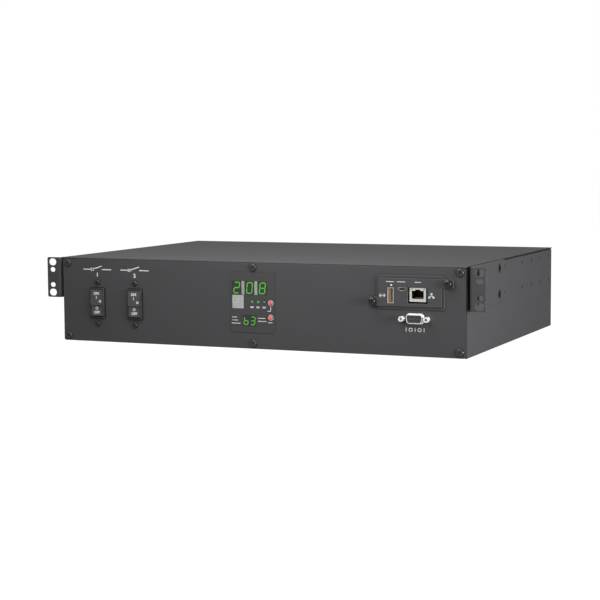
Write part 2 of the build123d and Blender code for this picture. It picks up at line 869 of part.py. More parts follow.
def indicator_leds():
    """Five lamps from the overlay back to the board, and the lamp on the front edge of the card's board."""
    y0 = front_y - overlay_thick - lamp_proud
    lamps = [rod_y(x, lamp_z, lamp_r, y0, board_y) for x in lamp_places]
    lamps += [rod_y(x, small_lamp_z, small_lamp_r, y0 + lamp_proud, board_y) for x in small_lamp_places]
    lamps.append(rod_y(status_lamp_x, status_lamp_z, status_lamp_r, card_face_y - slip, card_frame_y + card_front_gap))
    return group(lamps)


def switch_face_y():
    """Front face of the push switches on the display board."""
    return board_y - switch_h


def select_button(z):
    """Red cap with a flange that keeps it behind the panel and a nose in its switch."""
    front = front_y - overlay_thick - button_proud
    flange_y = tray_front + button_back_gap
    cap = rod_y(button_x, z, button_r, front, flange_y)
    face_edge = cap.edges().sort_by(Axis.Y)[0]
    cap = fillet(face_edge, button_proud * 0.4)
    flange = rod_y(button_x, z, button_flange_r, flange_y, flange_y + button_flange_h)
    nose_end = switch_face_y() + switch_bore - button_end_gap
    nose = rod_y(button_x, z, button_nose_r, flange_y + button_flange_h, nose_end)
    return cap + flange + nose


def button_switches():
    """Two push switches on the display board."""
    half = switch_size / 2
    pieces = []
    for z in button_places:
        body = block(button_x - half, button_x + half, switch_face_y(), board_y, z - half, z + half)
        bore = rod_y(button_x, z, button_nose_r + hole_gap, switch_face_y() - 1, switch_face_y() + switch_bore)
        pieces.append(body - bore)
    return group(pieces)


def display_corner_places():
    """Standoff places of the display board, as X and Z."""
    inset = display_board_margin / 2
    xs = (overlay_left - inset, overlay_right + inset)
    return [(x, z) for x in xs for z in (overlay_low, overlay_high - display_post_drop)]


def display_board():
    """Circuit board behind the display."""
    m = display_board_margin
    board = block(overlay_left - m, overlay_right + m, board_y, board_y + board_thick,
                  overlay_low - m / 2, overlay_high + m / 2)
    holes = [rod_y(x, z, board_screw_r + hole_gap, board_y - 1, board_y + board_thick + 1)
             for x, z in display_corner_places()]
    return board - holes


def display_standoffs():
    """Four posts between the panel and the display board."""
    return group([nut(x, z, tray_front, board_y, standoff_r, board_screw_r + thread_gap)
                  for x, z in display_corner_places()])


# Management card and serial port
def card_opening():
    """Opening for the card, drawn as seen from the front."""
    rim = card_open_rim
    return rounded(card_left + rim, card_right - rim, card_low + rim, card_high - rim, card_corner / 2)


def card_slot_frame():
    """Raised frame around the card opening."""
    rim = card_frame_rim
    outline = rounded(card_left - rim, card_right + rim, card_low - rim, card_high + rim, card_frame_corner)
    frame = front_view(outline, card_frame_y, front_y)
    front_edges = frame.edges().filter_by_position(Axis.Y, card_frame_y - 0.01, card_frame_y + 0.01)
    frame = chamfer(front_edges, card_frame_thick * 0.3)
    return frame - front_view(card_opening(), card_frame_y - 1, front_y + 1)


def card_faceplate():
    """Faceplate with an ear at its upper right and lower left, open for its three ports and its lamp."""
    outline = rounded(card_left, card_right, card_low, card_high, card_corner)
    reach = card_corner * 3
    upper = rounded(card_right - reach, card_right + card_ear_width, card_high - card_ear_height, card_high, 1.0)
    lower = rounded(card_left - card_ear_width + 1.0, card_left + reach, card_low, card_low + card_ear_height, 1.0)
    plate = front_view(outline + upper + lower, card_face_y, card_frame_y)
    before = card_face_y - 1
    behind = card_frame_y + 1
    jack_half = jack_width / 2 + jack_cut_gap
    cuts = [
        block(jack_x - jack_half, jack_x + jack_half, before, behind, jack_low - jack_cut_gap, card_board_z + slip),
        block(usb_x - usb_width / 2 - port_gap, usb_x + usb_width / 2 + port_gap, before, behind,
              usb_low - port_gap, card_board_z - usb_wall + port_gap),
        block(micro_x - micro_width / 2 - port_gap, micro_x + micro_width / 2 + port_gap, before, behind,
              card_board_z - micro_height - port_gap, card_board_z + port_gap),
        rod_y(status_lamp_x, status_lamp_z, status_lamp_r + hole_gap, before, behind),
    ]
    for x, z in thumb_places:
        cuts.append(rod_y(x, z, thumb_shank_r + hole_gap, before, behind))
    return plate - cuts


def thumbscrews():
    """Two thumbscrews through the faceplate ears into the cage flanges."""
    screws = []
    for x, z in thumb_places:
        knob = Cylinder(thumb_r, thumb_h, align=(Align.CENTER, Align.CENTER, Align.MIN))
        knob = fillet(knob.edges().sort_by(Axis.Z)[-1], thumb_h * 0.3)
        slot = Box(thumb_r * 1.2, thumb_r * 0.25, thumb_h * 0.5) + Box(thumb_r * 0.25, thumb_r * 1.2, thumb_h * 0.5)
        knob = knob - Pos(0, 0, thumb_h) * slot
        shank = Cylinder(thumb_shank_r, thumb_shank_length, align=(Align.CENTER, Align.CENTER, Align.MAX))
        screws.append(Pos(x, card_face_y, z) * Rot(90, 0, 0) * (knob + shank))
    return group(screws)


def card_board():
    """Board of the card, over its ports."""
    inset = card_open_rim + card_board_inset
    y0 = card_frame_y + card_front_gap
    return block(card_left + inset, card_right - inset, y0, y0 + card_board_depth,
                 card_board_z, card_board_z + board_thick)


def ethernet_jack():
    """Shielded jack with its open cavity, a latch notch and a lamp window in each upper corner."""
    y0 = card_face_y + jack_set_back
    x0 = jack_x - jack_width / 2
    x1 = jack_x + jack_width / 2
    shell = block(x0, x1, y0, y0 + jack_depth, jack_low, card_board_z)
    hole_w = jack_hole_width / 2
    hole_z = jack_low + jack_hole_rise
    hole_top = hole_z + jack_hole_height
    cuts = [
        block(jack_x - hole_w, jack_x + hole_w, y0 - 1, y0 + jack_hole_depth, hole_z, hole_top),
        block(jack_x - jack_notch_width / 2, jack_x + jack_notch_width / 2, y0 - 1, y0 + jack_hole_depth,
              hole_top - 1, hole_top + jack_notch_height / 2),
    ]
    return shell - cuts


def ethernet_contacts():
    """Eight spring contacts in the floor of the jack."""
    y0 = card_face_y + jack_set_back + jack_hole_depth
    z0 = jack_low + jack_hole_rise
    pitch = jack_hole_width / 10
    return group([block(jack_x + (i - 3.5) * pitch - pitch / 4, jack_x + (i - 3.5) * pitch + pitch / 4,
                        y0 - jack_hole_depth * 0.6, y0, z0, z0 + jack_hole_rise * 0.4) for i in range(8)])


def usb_port():
    """Upright host port: a shell with its contact tongue."""
    y0 = card_face_y - usb_wall
    x0 = usb_x - usb_width / 2
    x1 = usb_x + usb_width / 2
    high = card_board_z - usb_wall
    shell = block(x0, x1, y0, y0 + usb_depth, usb_low, high)
    cavity = block(x0 + usb_wall, x1 - usb_wall, y0 - 1, y0 + usb_depth - 1, usb_low + usb_wall, high - usb_wall)
    tongue_x = x0 + usb_wall + usb_tongue_offset
    tongue = block(tongue_x, tongue_x + usb_tongue, y0 + 1, y0 + usb_depth,
                   usb_low + 2.5 * usb_wall, high - 2.5 * usb_wall)
    foot_w = usb_width / 4
    foot = block(usb_x - foot_w, usb_x + foot_w, card_frame_y + card_front_gap, y0 + usb_depth, high, card_board_z)
    return shell - cavity + tongue + foot


def micro_usb_port():
    """Small port with tapered lower corners."""
    y0 = card_face_y
    half = micro_width / 2
    high = card_board_z
    low = high - micro_height
    taper = micro_height * 0.4
    shell = Polygon((micro_x - half, high), (micro_x - half, low + taper), (micro_x - half + taper, low),
                    (micro_x + half - taper, low), (micro_x + half, low + taper), (micro_x + half, high), align=None)
    hollow = offset(shell, amount=-micro_wall)
    tongue_half = half * 0.5
    mid = high - micro_height * 0.5
    body = front_view(shell, y0, y0 + micro_depth) - front_view(hollow, y0 - 1, y0 + micro_depth * 0.8)
    tongue = block(micro_x - tongue_half, micro_x + tongue_half, y0 + 0.5, y0 + micro_depth,
                   mid, mid + micro_wall * 1.6)
    return body + tongue


def card_cage():
    """Sheet channel that guides the card, with two flanges behind the panel for the thumbscrews."""
    x0 = card_left - card_frame_rim / 2
    x1 = card_right + card_frame_rim / 2
    z0 = card_low - card_frame_rim
    z1 = card_high + card_frame_rim / 2
    y0 = tray_front
    y1 = tray_front + cage_depth
    t = cage_sheet
    cage = block(x0, x1, y0, y1, z0, z1) - block(x0 + t, x1 - t, y0 - 1, y1 + 1, z0 + t, z1 + 1)
    (right_x, right_z), (left_x, left_z) = thumb_places
    reach = nut_r - slip
    cage = cage + block(x1 - t, right_x + reach, y0, y0 + t, right_z - reach, z1)
    cage = cage + block(left_x - reach, x0 + t, y0, y0 + t, z0, left_z + reach)
    cuts = [rod_y(x, z, thumb_shank_r + hole_gap, y0 - 1, y0 + t + 1) for x, z in thumb_places]
    return cage - cuts


def card_rails():
    """Two grooved rails on the cage walls that carry the edges of the board."""
    wall_left = card_left - card_frame_rim / 2 + cage_sheet
    wall_right = card_right + card_frame_rim / 2 - cage_sheet
    inset = card_open_rim + card_board_inset
    y0 = tray_front + slip
    y1 = tray_front + cage_depth
    mid = card_board_z + board_thick / 2
    z0 = mid - rail_height / 2
    z1 = mid + rail_height / 2
    overlap = 1.0
    groove = block(card_left + inset - thread_gap, card_right - inset + thread_gap, y0 - 1, y1 + 1,
                   card_board_z - thread_gap, card_board_z + board_thick + thread_gap)
    left = block(wall_left, card_left + inset + overlap, y0, y1, z0, z1)
    right = block(card_right - inset - overlap, wall_right, y0, y1, z0, z1)
    return group([left - groove, right - groove])


def serial_shell():
    """Plated shell with its flange behind the panel and a rounded shoulder in front."""
    flange = front_view(rounded(serial_x - serial_flange_width / 2, serial_x + serial_flange_width / 2,
                                serial_z - serial_flange_height / 2, serial_z + serial_flange_height / 2,
                                serial_corner), tray_front, tray_front + serial_flange_thick)
    shoulder = front_view(serial_outline(serial_flare), front_y - serial_flare_proud, tray_front)
    face = shoulder.edges().filter_by_position(Axis.Y, front_y - serial_flare_proud - 0.01,
                                               front_y - serial_flare_proud + 0.01)
    shoulder = chamfer(face, serial_flare_proud * 0.7)
    tube = front_view(serial_outline(0), front_y - serial_proud, tray_front)
    shell = flange + shoulder + tube
    bore = front_view(serial_outline(-serial_wall), front_y - serial_proud - 1, tray_front + serial_flange_thick + 1)
    cuts = [bore]
    for side in (-1, 1):
        x = serial_x + side * jackscrew_pitch / 2
        cuts.append(rod_y(x, serial_z, jackscrew_shank_r + hole_gap, tray_front - 1, tray_front + 2))
    return shell - cuts


def serial_insert():
    """Black insert with nine contact holes, and its body behind the flange."""
    front = front_y - serial_proud + serial_wall
    back = tray_front + serial_flange_thick
    face = front_view(serial_outline(-serial_wall - thread_gap), front, back)
    half_w = serial_width / 2 + serial_flare
    half_h = serial_flange_height / 2
    body = block(serial_x - half_w, serial_x + half_w, back, back + serial_body_depth,
                 serial_z - half_h, serial_z + half_h)
    holes = []
    for count, z in ((5, serial_z + serial_pin_rise), (4, serial_z - serial_pin_rise)):
        for i in range(count):
            x = serial_x + (i - (count - 1) / 2) * serial_pin_pitch
            holes.append(rod_y(x, z, serial_pin_r, front - 1, front + 5))
    return face + body - holes


def serial_jackscrews():
    """Two hexagonal jackscrews with threaded bores."""
    screws = []
    for side in (-1, 1):
        x = serial_x + side * jackscrew_pitch / 2
        post = front_view(hexagon(x, serial_z, jackscrew_across), front_y - jackscrew_length, front_y)
        shank = rod_y(x, serial_z, jackscrew_shank_r, front_y, front_y + jackscrew_shank_length)
        bore = rod_y(x, serial_z, jackscrew_bore_r, front_y - jackscrew_length - 1, front_y - 1)
        screws.append(post + shank - bore)
    return group(screws)


# Rear face
def outlet_opening(x, z, width, height, cut):
    """Outlet opening with two cut upper corners, drawn as seen from the front."""
    w = width / 2
    h = height / 2
    return Polygon((x - w, z - h), (x + w, z - h), (x + w, z + h - cut), (x + w - cut, z + h),
                   (x - w + cut, z + h), (x - w, z + h - cut), align=None)


def outlet_slots(x, z, width, height, reach, rise):
    """Middle and size of the three contact slots of an outlet."""
    return [(x - reach, z - rise, width, height), (x + reach, z - rise, width, height), (x, z + rise, width, height)]


def slot_block(place, grow, y0, y1):
    """Box of a contact slot, grown by a clearance."""
    x, z, width, height = place
    return block(x - width / 2 - grow, x + width / 2 + grow, y0, y1, z - height / 2 - grow, z + height / 2 + grow)


def small_outlet_centres(bank_x):
    """Middle of each small outlet of one row."""
    return [bank_x + (i - (outlet_per_row - 1) / 2) * outlet_pitch for i in range(outlet_per_row)]


def outlet_module(bank_x, z):
    """Row of outlets in one moulding: flange outside, body through the panel, an open ring around each core."""
    half_w = module_half
    half_h = outlet_flange_height / 2
    out_y = rear_y + outlet_flange_thick
    back = rear_y - outlet_body_depth
    flange = front_view(rounded(bank_x - half_w, bank_x + half_w, z - half_h, z + half_h, big_corner / 2),
                        rear_y, out_y)
    half_w = row_width / 2 + outlet_body_margin
    half_h = outlet_body_height / 2
    module = flange + block(bank_x - half_w, bank_x + half_w, back, rear_y, z - half_h, z + half_h)
    floor = out_y - outlet_open_depth
    cuts = []
    for x in small_outlet_centres(bank_x):
        ring = front_view(outlet_opening(x, z, outlet_open_width, outlet_open_height, outlet_chamfer), floor, out_y + 1)
        inner_cut = outlet_chamfer - (outlet_open_width - outlet_core_width) / 4
        core = front_view(outlet_opening(x, z, outlet_core_width, outlet_core_height, inner_cut), floor - 1, out_y + 2)
        cuts.append(ring - core)
        places = outlet_slots(x, z, outlet_slot_width, outlet_slot_height, outlet_slot_reach, outlet_slot_rise)
        for place in places:
            cuts.append(slot_block(place, 0, back - 1, out_y + 1))
    return module - cuts


def big_outlet(x):
    """Single high current outlet: flange outside, body through the panel, an open ring around its core."""
    z = big_outlet_z
    out_y = rear_y + outlet_flange_thick
    back = rear_y - outlet_body_depth
    half_w = big_flange_width / 2
    half_h = big_flange_height / 2
    flange = front_view(rounded(x - half_w, x + half_w, z - half_h, z + half_h, big_corner), rear_y, out_y)
    half_w = big_open_width / 2 + outlet_body_margin
    half_h = big_open_height / 2 + outlet_body_margin
    outlet = flange + block(x - half_w, x + half_w, back, rear_y, z - half_h, z + half_h)
    floor = out_y - outlet_open_depth
    half_w = big_open_width / 2
    half_h = big_open_height / 2
    ring = front_view(rounded(x - half_w, x + half_w, z - half_h, z + half_h, big_corner), floor, out_y + 1)
    half_w = big_core_width / 2
    half_h = big_core_height / 2
    core = front_view(rounded(x - half_w, x + half_w, z - half_h, z + half_h, big_corner * 0.7), floor - 1, out_y + 2)
    cuts = [ring - core]
    for place in outlet_slots(x, z, big_slot_width, big_slot_height, big_slot_reach, big_slot_rise):
        cuts.append(slot_block(place, 0, back - 1, out_y + 1))
    return outlet - cuts


def contact(place):
    """Sleeve contact in a slot, with its tab reaching the relay board."""
    x, z, width, height = place
    y1 = rear_y + outlet_flange_thick - contact_set_back
    y0 = rear_y - outlet_body_depth
    sleeve = slot_block(place, -thread_gap, y0, y1)
    hollow = slot_block(place, -thread_gap - contact_wall, y0 + 2, y1 + 1)
    tab = block(x - width / 4, x + width / 4, relay_board_y + board_thick, y0, z - height / 4, z + height / 4)
    return sleeve - hollow + tab


def outlet_contacts():
    """Contacts of all the outlets."""
    places = []
    for bank_x in (bank_1_x, bank_2_x):
        for z in outlet_rows:
            for x in small_outlet_centres(bank_x):
                places += outlet_slots(x, z, outlet_slot_width, outlet_slot_height, outlet_slot_reach, outlet_slot_rise)
    for x in (big_outlet_1_x, big_outlet_2_x):
        places += outlet_slots(x, big_outlet_z, big_slot_width, big_slot_height, big_slot_reach, big_slot_rise)
    return group([contact(place) for place in places])


def gland_body():
    """Threaded body of the cord gland, with its hexagon outside the panel and its open bore."""
    z = big_outlet_z
    inner = tray_rear - gland_thread_length
    body = rod_y(gland_x, z, gland_body_r, inner, rear_y + gland_hex_length)
    body = body + front_view(hexagon(gland_x, z, gland_hex_across), rear_y, rear_y + gland_hex_length)
    return body - rod_y(gland_x, z, gland_bore_r, inner - 1, rear_y + gland_hex_length + 1)


def gland_dome_nut():
    """Domed nut that would clamp the cord, screwed on outside."""
    y0 = rear_y + gland_hex_length
    dome = rod_y(gland_x, big_outlet_z, gland_dome_r, y0, y0 + gland_dome_length)
    dome = fillet(dome.edges().sort_by(Axis.Y)[-1], (gland_dome_r - gland_bore_r) * 0.8)
    return dome - rod_y(gland_x, big_outlet_z, gland_bore_r, y0 - 1, y0 + gland_dome_length + 1)


def gland_locknut():
    """Locknut of the gland behind the panel."""
    y1 = tray_rear
    y0 = y1 - gland_nut_h
    ring = front_view(hexagon(gland_x, big_outlet_z, gland_hex_across + 1), y0, y1)
    return ring - rod_y(gland_x, big_outlet_z, gland_body_r + thread_gap, y0 - 1, y1 + 1)


def ground_stud():
    """Earthing stud with a nut on each side of the panel."""
    z = ground_stud_z
    half = ground_stud_length / 2
    stud = rod_y(gland_x, z, ground_stud_r, tray_rear - half, rear_y + half)
    outer = front_view(hexagon(gland_x, z, ground_nut_across), rear_y, rear_y + ground_nut_h)
    inner = front_view(hexagon(gland_x, z, ground_nut_across), tray_rear - ground_nut_h, tray_rear)
    return stud + outer + inner


# Boards inside
def relay_standoff_places():
    """Standoff places of both relay boards, as X and Z, between the outlet rows."""
    z = (outlet_rows[0] + outlet_rows[1]) / 2
    reach = row_width / 2 - standoff_r
    return [(bank_x + side * reach, z) for bank_x in (bank_1_x, bank_2_x) for side in (-1, 0, 1)]


def relay_board(left, right):
    """Upright board behind the outlets of one bank."""
    y0 = relay_board_y
    board = block(left, right, y0, y0 + board_thick, relay_board_low, relay_board_high)
    holes = [rod_y(x, z, board_screw_r + hole_gap, y0 - 1, y0 + board_thick + 1)
             for x, z in relay_standoff_places() if left < x < right]
    return board - holes


def relay_board_ends(bank_x, big_x):
    """Left and right end of a relay board, which also backs the high current outlet of its bank."""
    return big_x - big_open_width / 2, bank_x + row_width / 2


def relays(bank_x, big_x):
    """One relay for each outlet of a bank."""
    y1 = relay_board_y
    y0 = y1 - relay_length
    half_w = relay_width / 2
    half_h = relay_height / 2
    centres = [(x, z) for x in small_outlet_centres(bank_x) for z in outlet_rows]
    centres.append((big_x, big_outlet_z))
    pieces = []
    for x, z in centres:
        case = block(x - half_w, x + half_w, y0, y1, z - half_h, z + half_h)
        pieces.append(chamfer(case.faces().sort_by(Axis.Y)[0].edges(), 0.6))
    return group(pieces)


def relay_standoffs():
    """Posts between the rear panel and the relay boards."""
    y0 = relay_board_y + board_thick
    return group([nut(x, z, y0, tray_rear, standoff_r, board_screw_r + thread_gap)
                  for x, z in relay_standoff_places()])


def floor_board_holes(left, front, width, depth):
    """Corner holes of a board that lies over the floor, as X and Y."""
    i = board_hole_inset
    return [(x, y) for x in (left + i, left + width - i) for y in (front + i, front + depth - i)]


def floor_board(left, front, width, depth):
    """Board that lies over the floor."""
    z = floor_board_z
    board = block(left, left + width, front, front + depth, z, z + board_thick)
    holes = [rod_z(x, y, board_screw_r + hole_gap, z - 1, z + board_thick + 1)
             for x, y in floor_board_holes(left, front, width, depth)]
    return board - holes


def all_floor_holes():
    """Corner holes of both boards that lie over the floor."""
    return (floor_board_holes(main_board_left, main_board_front, main_board_width, main_board_depth)
            + floor_board_holes(supply_board_left, supply_board_front, supply_board_width, supply_board_depth))


def floor_standoffs():
    """Posts between the floor and its boards."""
    posts = []
    for x, y in all_floor_holes():
        post = rod_z(x, y, standoff_r, sheet, floor_board_z)
        posts.append(post - rod_z(x, y, board_screw_r + thread_gap, sheet + 1, floor_board_z + 1))
    return group(posts)


def board_screws():
    """Screws of every board, the rear ones through the rear panel."""
    screws = []
    length = board_thick + 4
    top = floor_board_z + board_thick
    for x, y in all_floor_holes():
        head = rod_z(x, y, board_screw_head_r, top, top + board_screw_head_h)
        screws.append(head + rod_z(x, y, board_screw_r, top - length, top))
    for x, z in display_corner_places():
        screws.append(screw(x, z, board_y + board_thick, 1, board_screw_r, length,
                            board_screw_head_r, board_screw_head_h))
    for x, z in relay_standoff_places():
        screws.append(screw(x, z, relay_board_y, -1, board_screw_r, length,
                            board_screw_head_r, board_screw_head_h))
        screws.append(screw(x, z, rear_y, 1, board_screw_r, rear_plate + 4,
                            board_screw_head_r, board_screw_head_h))
    return group(screws)


def supply_transformer():
    """Laminated core around a wound coil."""
    x = supply_board_left + supply_board_width - transformer_width / 2 - board_margin
    y = supply_board_front + supply_board_depth / 2
    z0 = floor_board_z + board_thick
    z1 = z0 + transformer_height
    half_w = transformer_width / 2
    half_d = transformer_depth / 2
    core = block(x - half_w, x + half_w, y - half_d / 2, y + half_d / 2, z0, z1)
    coil = block(x - half_w * 0.62, x + half_w * 0.62, y - half_d, y + half_d,
                 z0 + coil_overhang, z1 - coil_overhang)
    return core + fillet(coil.edges().filter_by(Axis.Z), coil_overhang)


def supply_capacitors():
    """Three round capacitors in a row."""
    x0 = supply_board_left + supply_board_width - board_margin - 2 * board_hole_inset
    y = supply_board_front + board_margin + capacitor_r
    z0 = floor_board_z + board_thick
    return group([rod_z(x0 - i * capacitor_pitch, y, capacitor_r, z0, z0 + capacitor_height)
                  for i in range(3)])


def ring_places():
    """Middle of each current sensing ring on the supply board, as X and Y."""
    y = supply_board_front + supply_board_depth - ring_r
    return [(supply_board_left + ring_r + i * ring_pitch, y) for i in range(breaker_count)]


def current_rings():
    """One current sensing ring for each bank, upright on the supply board."""
    z = floor_board_z + board_thick + ring_r
    rings = []
    for x, y in ring_places():
        body = rod_y(x, z, ring_r, y - ring_thick / 2, y + ring_thick / 2)
        rings.append(body - rod_y(x, z, ring_bore_r, y - ring_thick, y + ring_thick))
    return group(rings)


def riser_board():
    """Upright board that carries the socket of the card, standing on the main board."""
    y0 = tray_front + cage_depth
    return block(card_left + riser_margin, card_right - riser_margin, y0, y0 + board_thick,
                 floor_board_z + board_thick, card_board_z + board_thick + socket_height)


def card_socket():
    """Edge socket on the riser that grips the rear edge of the card's board."""
    y1 = tray_front + cage_depth
    mid = card_board_z + board_thick / 2
    body = block(card_left + riser_margin, card_right - riser_margin, y1 - socket_depth, y1,
                 mid - socket_height / 2, mid + socket_height / 2)
    rear_edge = card_frame_y + card_front_gap + card_board_depth
    slot = block(card_left, card_right, y1 - socket_depth - 1, rear_edge + thread_gap,
                 card_board_z - thread_gap, card_board_z + board_thick + thread_gap)
    return body - slot


def header(x, y):
    """Plug header on the main board."""
    z = floor_board_z + board_thick
    half_w = ribbon_width / 2 + ribbon_thick
    half_d = header_depth / 2
    return block(x - half_w, x + half_w, y - half_d, y + half_d, z, z + header_height)


def front_header_y():
    """Row of the headers along the front of the main board."""
    return main_board_front + front_header_gap


def rear_header_y():
    """Row of the headers along the rear of the main board."""
    return main_board_front + main_board_depth - rear_header_gap


def main_board_parts():
    """Processor, the four plug headers and the socket of the card."""
    z = floor_board_z + board_thick
    x = main_board_left + main_board_width / 2
    y = main_board_front + main_board_depth / 2
    chip_half = ribbon_width * 0.6
    return group([
        block(x - chip_half, x + chip_half, y - chip_half, y + chip_half, z, z + ribbon_thick * 2),
        header(display_ribbon_x, front_header_y()),
        header(serial_x, front_header_y()),
        header(control_ribbon_1_x, rear_header_y()),
        header(control_ribbon_2_x, rear_header_y()),
        card_socket(),
    ])


def ribbon(x, y_end, y_header, z):
    """Flat cable that runs level from a board or plug and bends down into its header."""
    low = floor_board_z + board_thick + header_height
    path = FilletPolyline((x, y_end, z), (x, y_header, z), (x, y_header, low), radius=ribbon_bend)
    return sweep(Plane(path @ 0, x_dir=(1, 0, 0), z_dir=path % 0) * Rectangle(ribbon_width, ribbon_thick), path)


def ribbon_cables():
    """Cables of the display, the serial port and both relay boards."""
    serial_back = tray_front + serial_flange_thick + serial_body_depth
    return group([
        ribbon(display_ribbon_x, board_y + board_thick, front_header_y(), display_ribbon_z),
        ribbon(serial_x, serial_back, front_header_y(), serial_z),
        ribbon(control_ribbon_1_x, relay_board_y, rear_header_y(), control_ribbon_z),
        ribbon(control_ribbon_2_x, relay_board_y, rear_header_y(), control_ribbon_z),
    ])


def wire(points):
    """Insulated wire along straight runs joined by arcs as large as the runs allow."""
    spots = [Vector(*p) for p in points]
    radii = []
    for a, b, c in zip(spots, spots[1:], spots[2:]):
        turn = math.radians((b - a).get_angle(c - b))
        radii.append(0.45 * min((b - a).length, (c - b).length) / math.tan(turn / 2))
    print("wire radii", [round(r) for r in radii])
    path = FilletPolyline(*points, radius=radii)
    return sweep(Plane(path @ 0, z_dir=path % 0) * Circle(wire_r), path)


def power_wires():
    """Wires from the terminal block to the breakers, and on through the sensing rings to the relay boards."""
    grip_y = tray_front + breaker_depth + wire_grip
    low_z = breaker_z - terminal_rise
    high_z = breaker_z + terminal_rise
    x1, x2 = breaker_places
    poles = [pole_x(0), pole_x(1)]
    start_y = block_y - block_depth / 2 + wire_grip
    seat_z = sheet + block_height * 0.6 + wire_r + hole_gap
    (r1, ry), (r2, ry) = ring_places()
    ring_z = floor_board_z + board_thick + ring_r
    drop_1 = bank_1_x - outlet_pitch
    drop_2 = bank_2_x - outlet_pitch
    top_z = outlet_rows[1]
    third_y = start_y + (grip_y - start_y) * 0.37
    far_y = start_y + (grip_y - start_y) * 0.6
    return group([
        wire([(poles[0], start_y, seat_z), (poles[0], start_y - 26, seat_z), (poles[0] - 6, third_y, seat_z - 4),
              (poles[0] + 3, far_y, seat_z + 3), (x1, grip_y + 24, low_z), (x1, grip_y, low_z)]),
        wire([(poles[1], start_y, seat_z), (poles[1], start_y - 30, seat_z), (poles[1] + 14, third_y, seat_z - 5),
              (poles[1] + 20, far_y, seat_z + 2), (x2, grip_y + 22, low_z), (x2, grip_y, low_z)]),
        wire([(x1, grip_y, high_z), (x1, grip_y + 24, high_z), (x1 + 22, grip_y + 44, high_z - 8),
              (r1 - 8, ry - 44, ring_z + 8), (r1, ry - 20, ring_z), (r1, ry + 20, ring_z),
              (r1 + 6, ry + 56, ring_z + 6), (drop_1, relay_board_y - 44, top_z - 6),
              (drop_1, relay_board_y - 20, top_z), (drop_1, relay_board_y, top_z)]),
        wire([(x2, grip_y, high_z), (x2, grip_y + 20, high_z), (x2 + 20, grip_y + 36, high_z - 5),
              (r2 - 8, ry - 40, ring_z + 8), (r2, ry - 20, ring_z), (r2, ry + 20, ring_z),
              (r2 + 24, ry + 50, ring_z - 5), (r2 + 74, ry + 68, ring_z - 4), (r2 + 130, ry + 78, ring_z + 6),
              (drop_2 - 16, relay_board_y - 36, top_z - 14), (drop_2, relay_board_y - 18, top_z),
              (drop_2, relay_board_y, top_z)]),
    ])


def pole_x(i):
    """Middle of a pole of the terminal block."""
    return gland_x + (i + 0.5) * block_pitch


def terminal_block():
    """Barrier terminal block on the floor by the cord gland."""
    half_w = block_poles * block_pitch / 2
    half_d = block_depth / 2
    x = gland_x + half_w
    body = block(x - half_w, x + half_w, block_y - half_d, block_y + half_d, sheet, sheet + block_height)
    cuts = []
    for i in range(block_poles):
        cx = pole_x(i)
        for side in (-1, 1):
            y0, y1 = sorted((block_y + side * half_d * 0.2, block_y + side * (half_d + 1)))
            cuts.append(block(cx - block_pitch * 0.38, cx + block_pitch * 0.38, y0, y1,
                              sheet + block_height * 0.6, sheet + block_height + 1))
    return body - cuts


def terminal_screws():
    """Clamping screws of the terminal block, behind the wire ends."""
    z = sheet + block_height * 0.6
    return [rod_z(pole_x(i), block_y + side * block_depth * 0.22, block_screw_r, z, z + block_screw_r)
            for i in range(block_poles) for side in (-1, 1)]


os.makedirs("parts", exist_ok=True)

right_ear = ear_bracket()
save(chassis_tray(), "chassis_tray")
save(top_cover(), "top_cover")
save(front_panel(), "front_panel")
save(rear_panel(), "rear_panel")
save(right_ear, "ear_bracket_right")
save(mirrored(right_ear), "ear_bracket_left")
save(ear_screws(), "ear_bracket_screws")
save(panel_screws(front_y, -1), "front_panel_screws")
save(panel_screws(rear_y, 1), "rear_panel_screws")
save(clinch_nuts(), "clinch_nuts")
for number, breaker_x in enumerate(breaker_places, start=1):
    save(breaker_case(breaker_x), f"breaker_{number}_case")
    save(breaker_rocker(breaker_x), f"breaker_{number}_rocker")
save(breaker_screws(), "breaker_screws")
save(wire_terminals(), "wire_terminals")
save(display_overlay(), "display_overlay")
save(display_body(voltage_box(0)), "voltage_display")
save(display_body(bank_box(0)), "bank_display")
save(group([voltage_segments(), bank_segments()]), "display_segments")
save(indicator_leds(), "indicator_leds")
save(select_button(button_places[1]), "select_button_upper")
save(select_button(button_places[0]), "select_button_lower")
save(button_switches(), "button_switches")
save(display_board(), "display_board")
save(card_slot_frame(), "card_slot_frame")
save(card_faceplate(), "card_faceplate")
save(thumbscrews(), "card_thumbscrews")
save(card_board(), "card_board")
save(ethernet_jack(), "ethernet_jack")
save(ethernet_contacts(), "ethernet_contacts")
save(usb_port(), "usb_port")
save(micro_usb_port(), "micro_usb_port")
save(card_cage(), "card_cage")
save(card_rails(), "card_rails")
save(serial_shell(), "serial_port_shell")
save(serial_insert(), "serial_port_insert")
save(serial_jackscrews(), "serial_jackscrews")
for bank, bank_x in ((1, bank_1_x), (2, bank_2_x)):
    for row, outlet_z in zip(("lower", "upper"), outlet_rows):
        save(outlet_module(bank_x, outlet_z), f"outlets_bank_{bank}_{row}")
save(group([big_outlet(big_outlet_1_x), big_outlet(big_outlet_2_x)]), "high_current_outlets")
save(outlet_contacts(), "outlet_contacts")
save(gland_body(), "cord_gland_body")
save(gland_dome_nut(), "cord_gland_dome_nut")
save(gland_locknut(), "cord_gland_locknut")
save(ground_stud(), "ground_stud")
save(group([relay_board(*relay_board_ends(bank_1_x, big_outlet_1_x)),
            relay_board(*relay_board_ends(bank_2_x, big_outlet_2_x))]), "relay_boards")
save(group([relays(bank_1_x, big_outlet_1_x), relays(bank_2_x, big_outlet_2_x)]), "outlet_relays")
save(group([relay_standoffs(), floor_standoffs(), display_standoffs()]), "board_standoffs")
save(board_screws(), "board_screws")
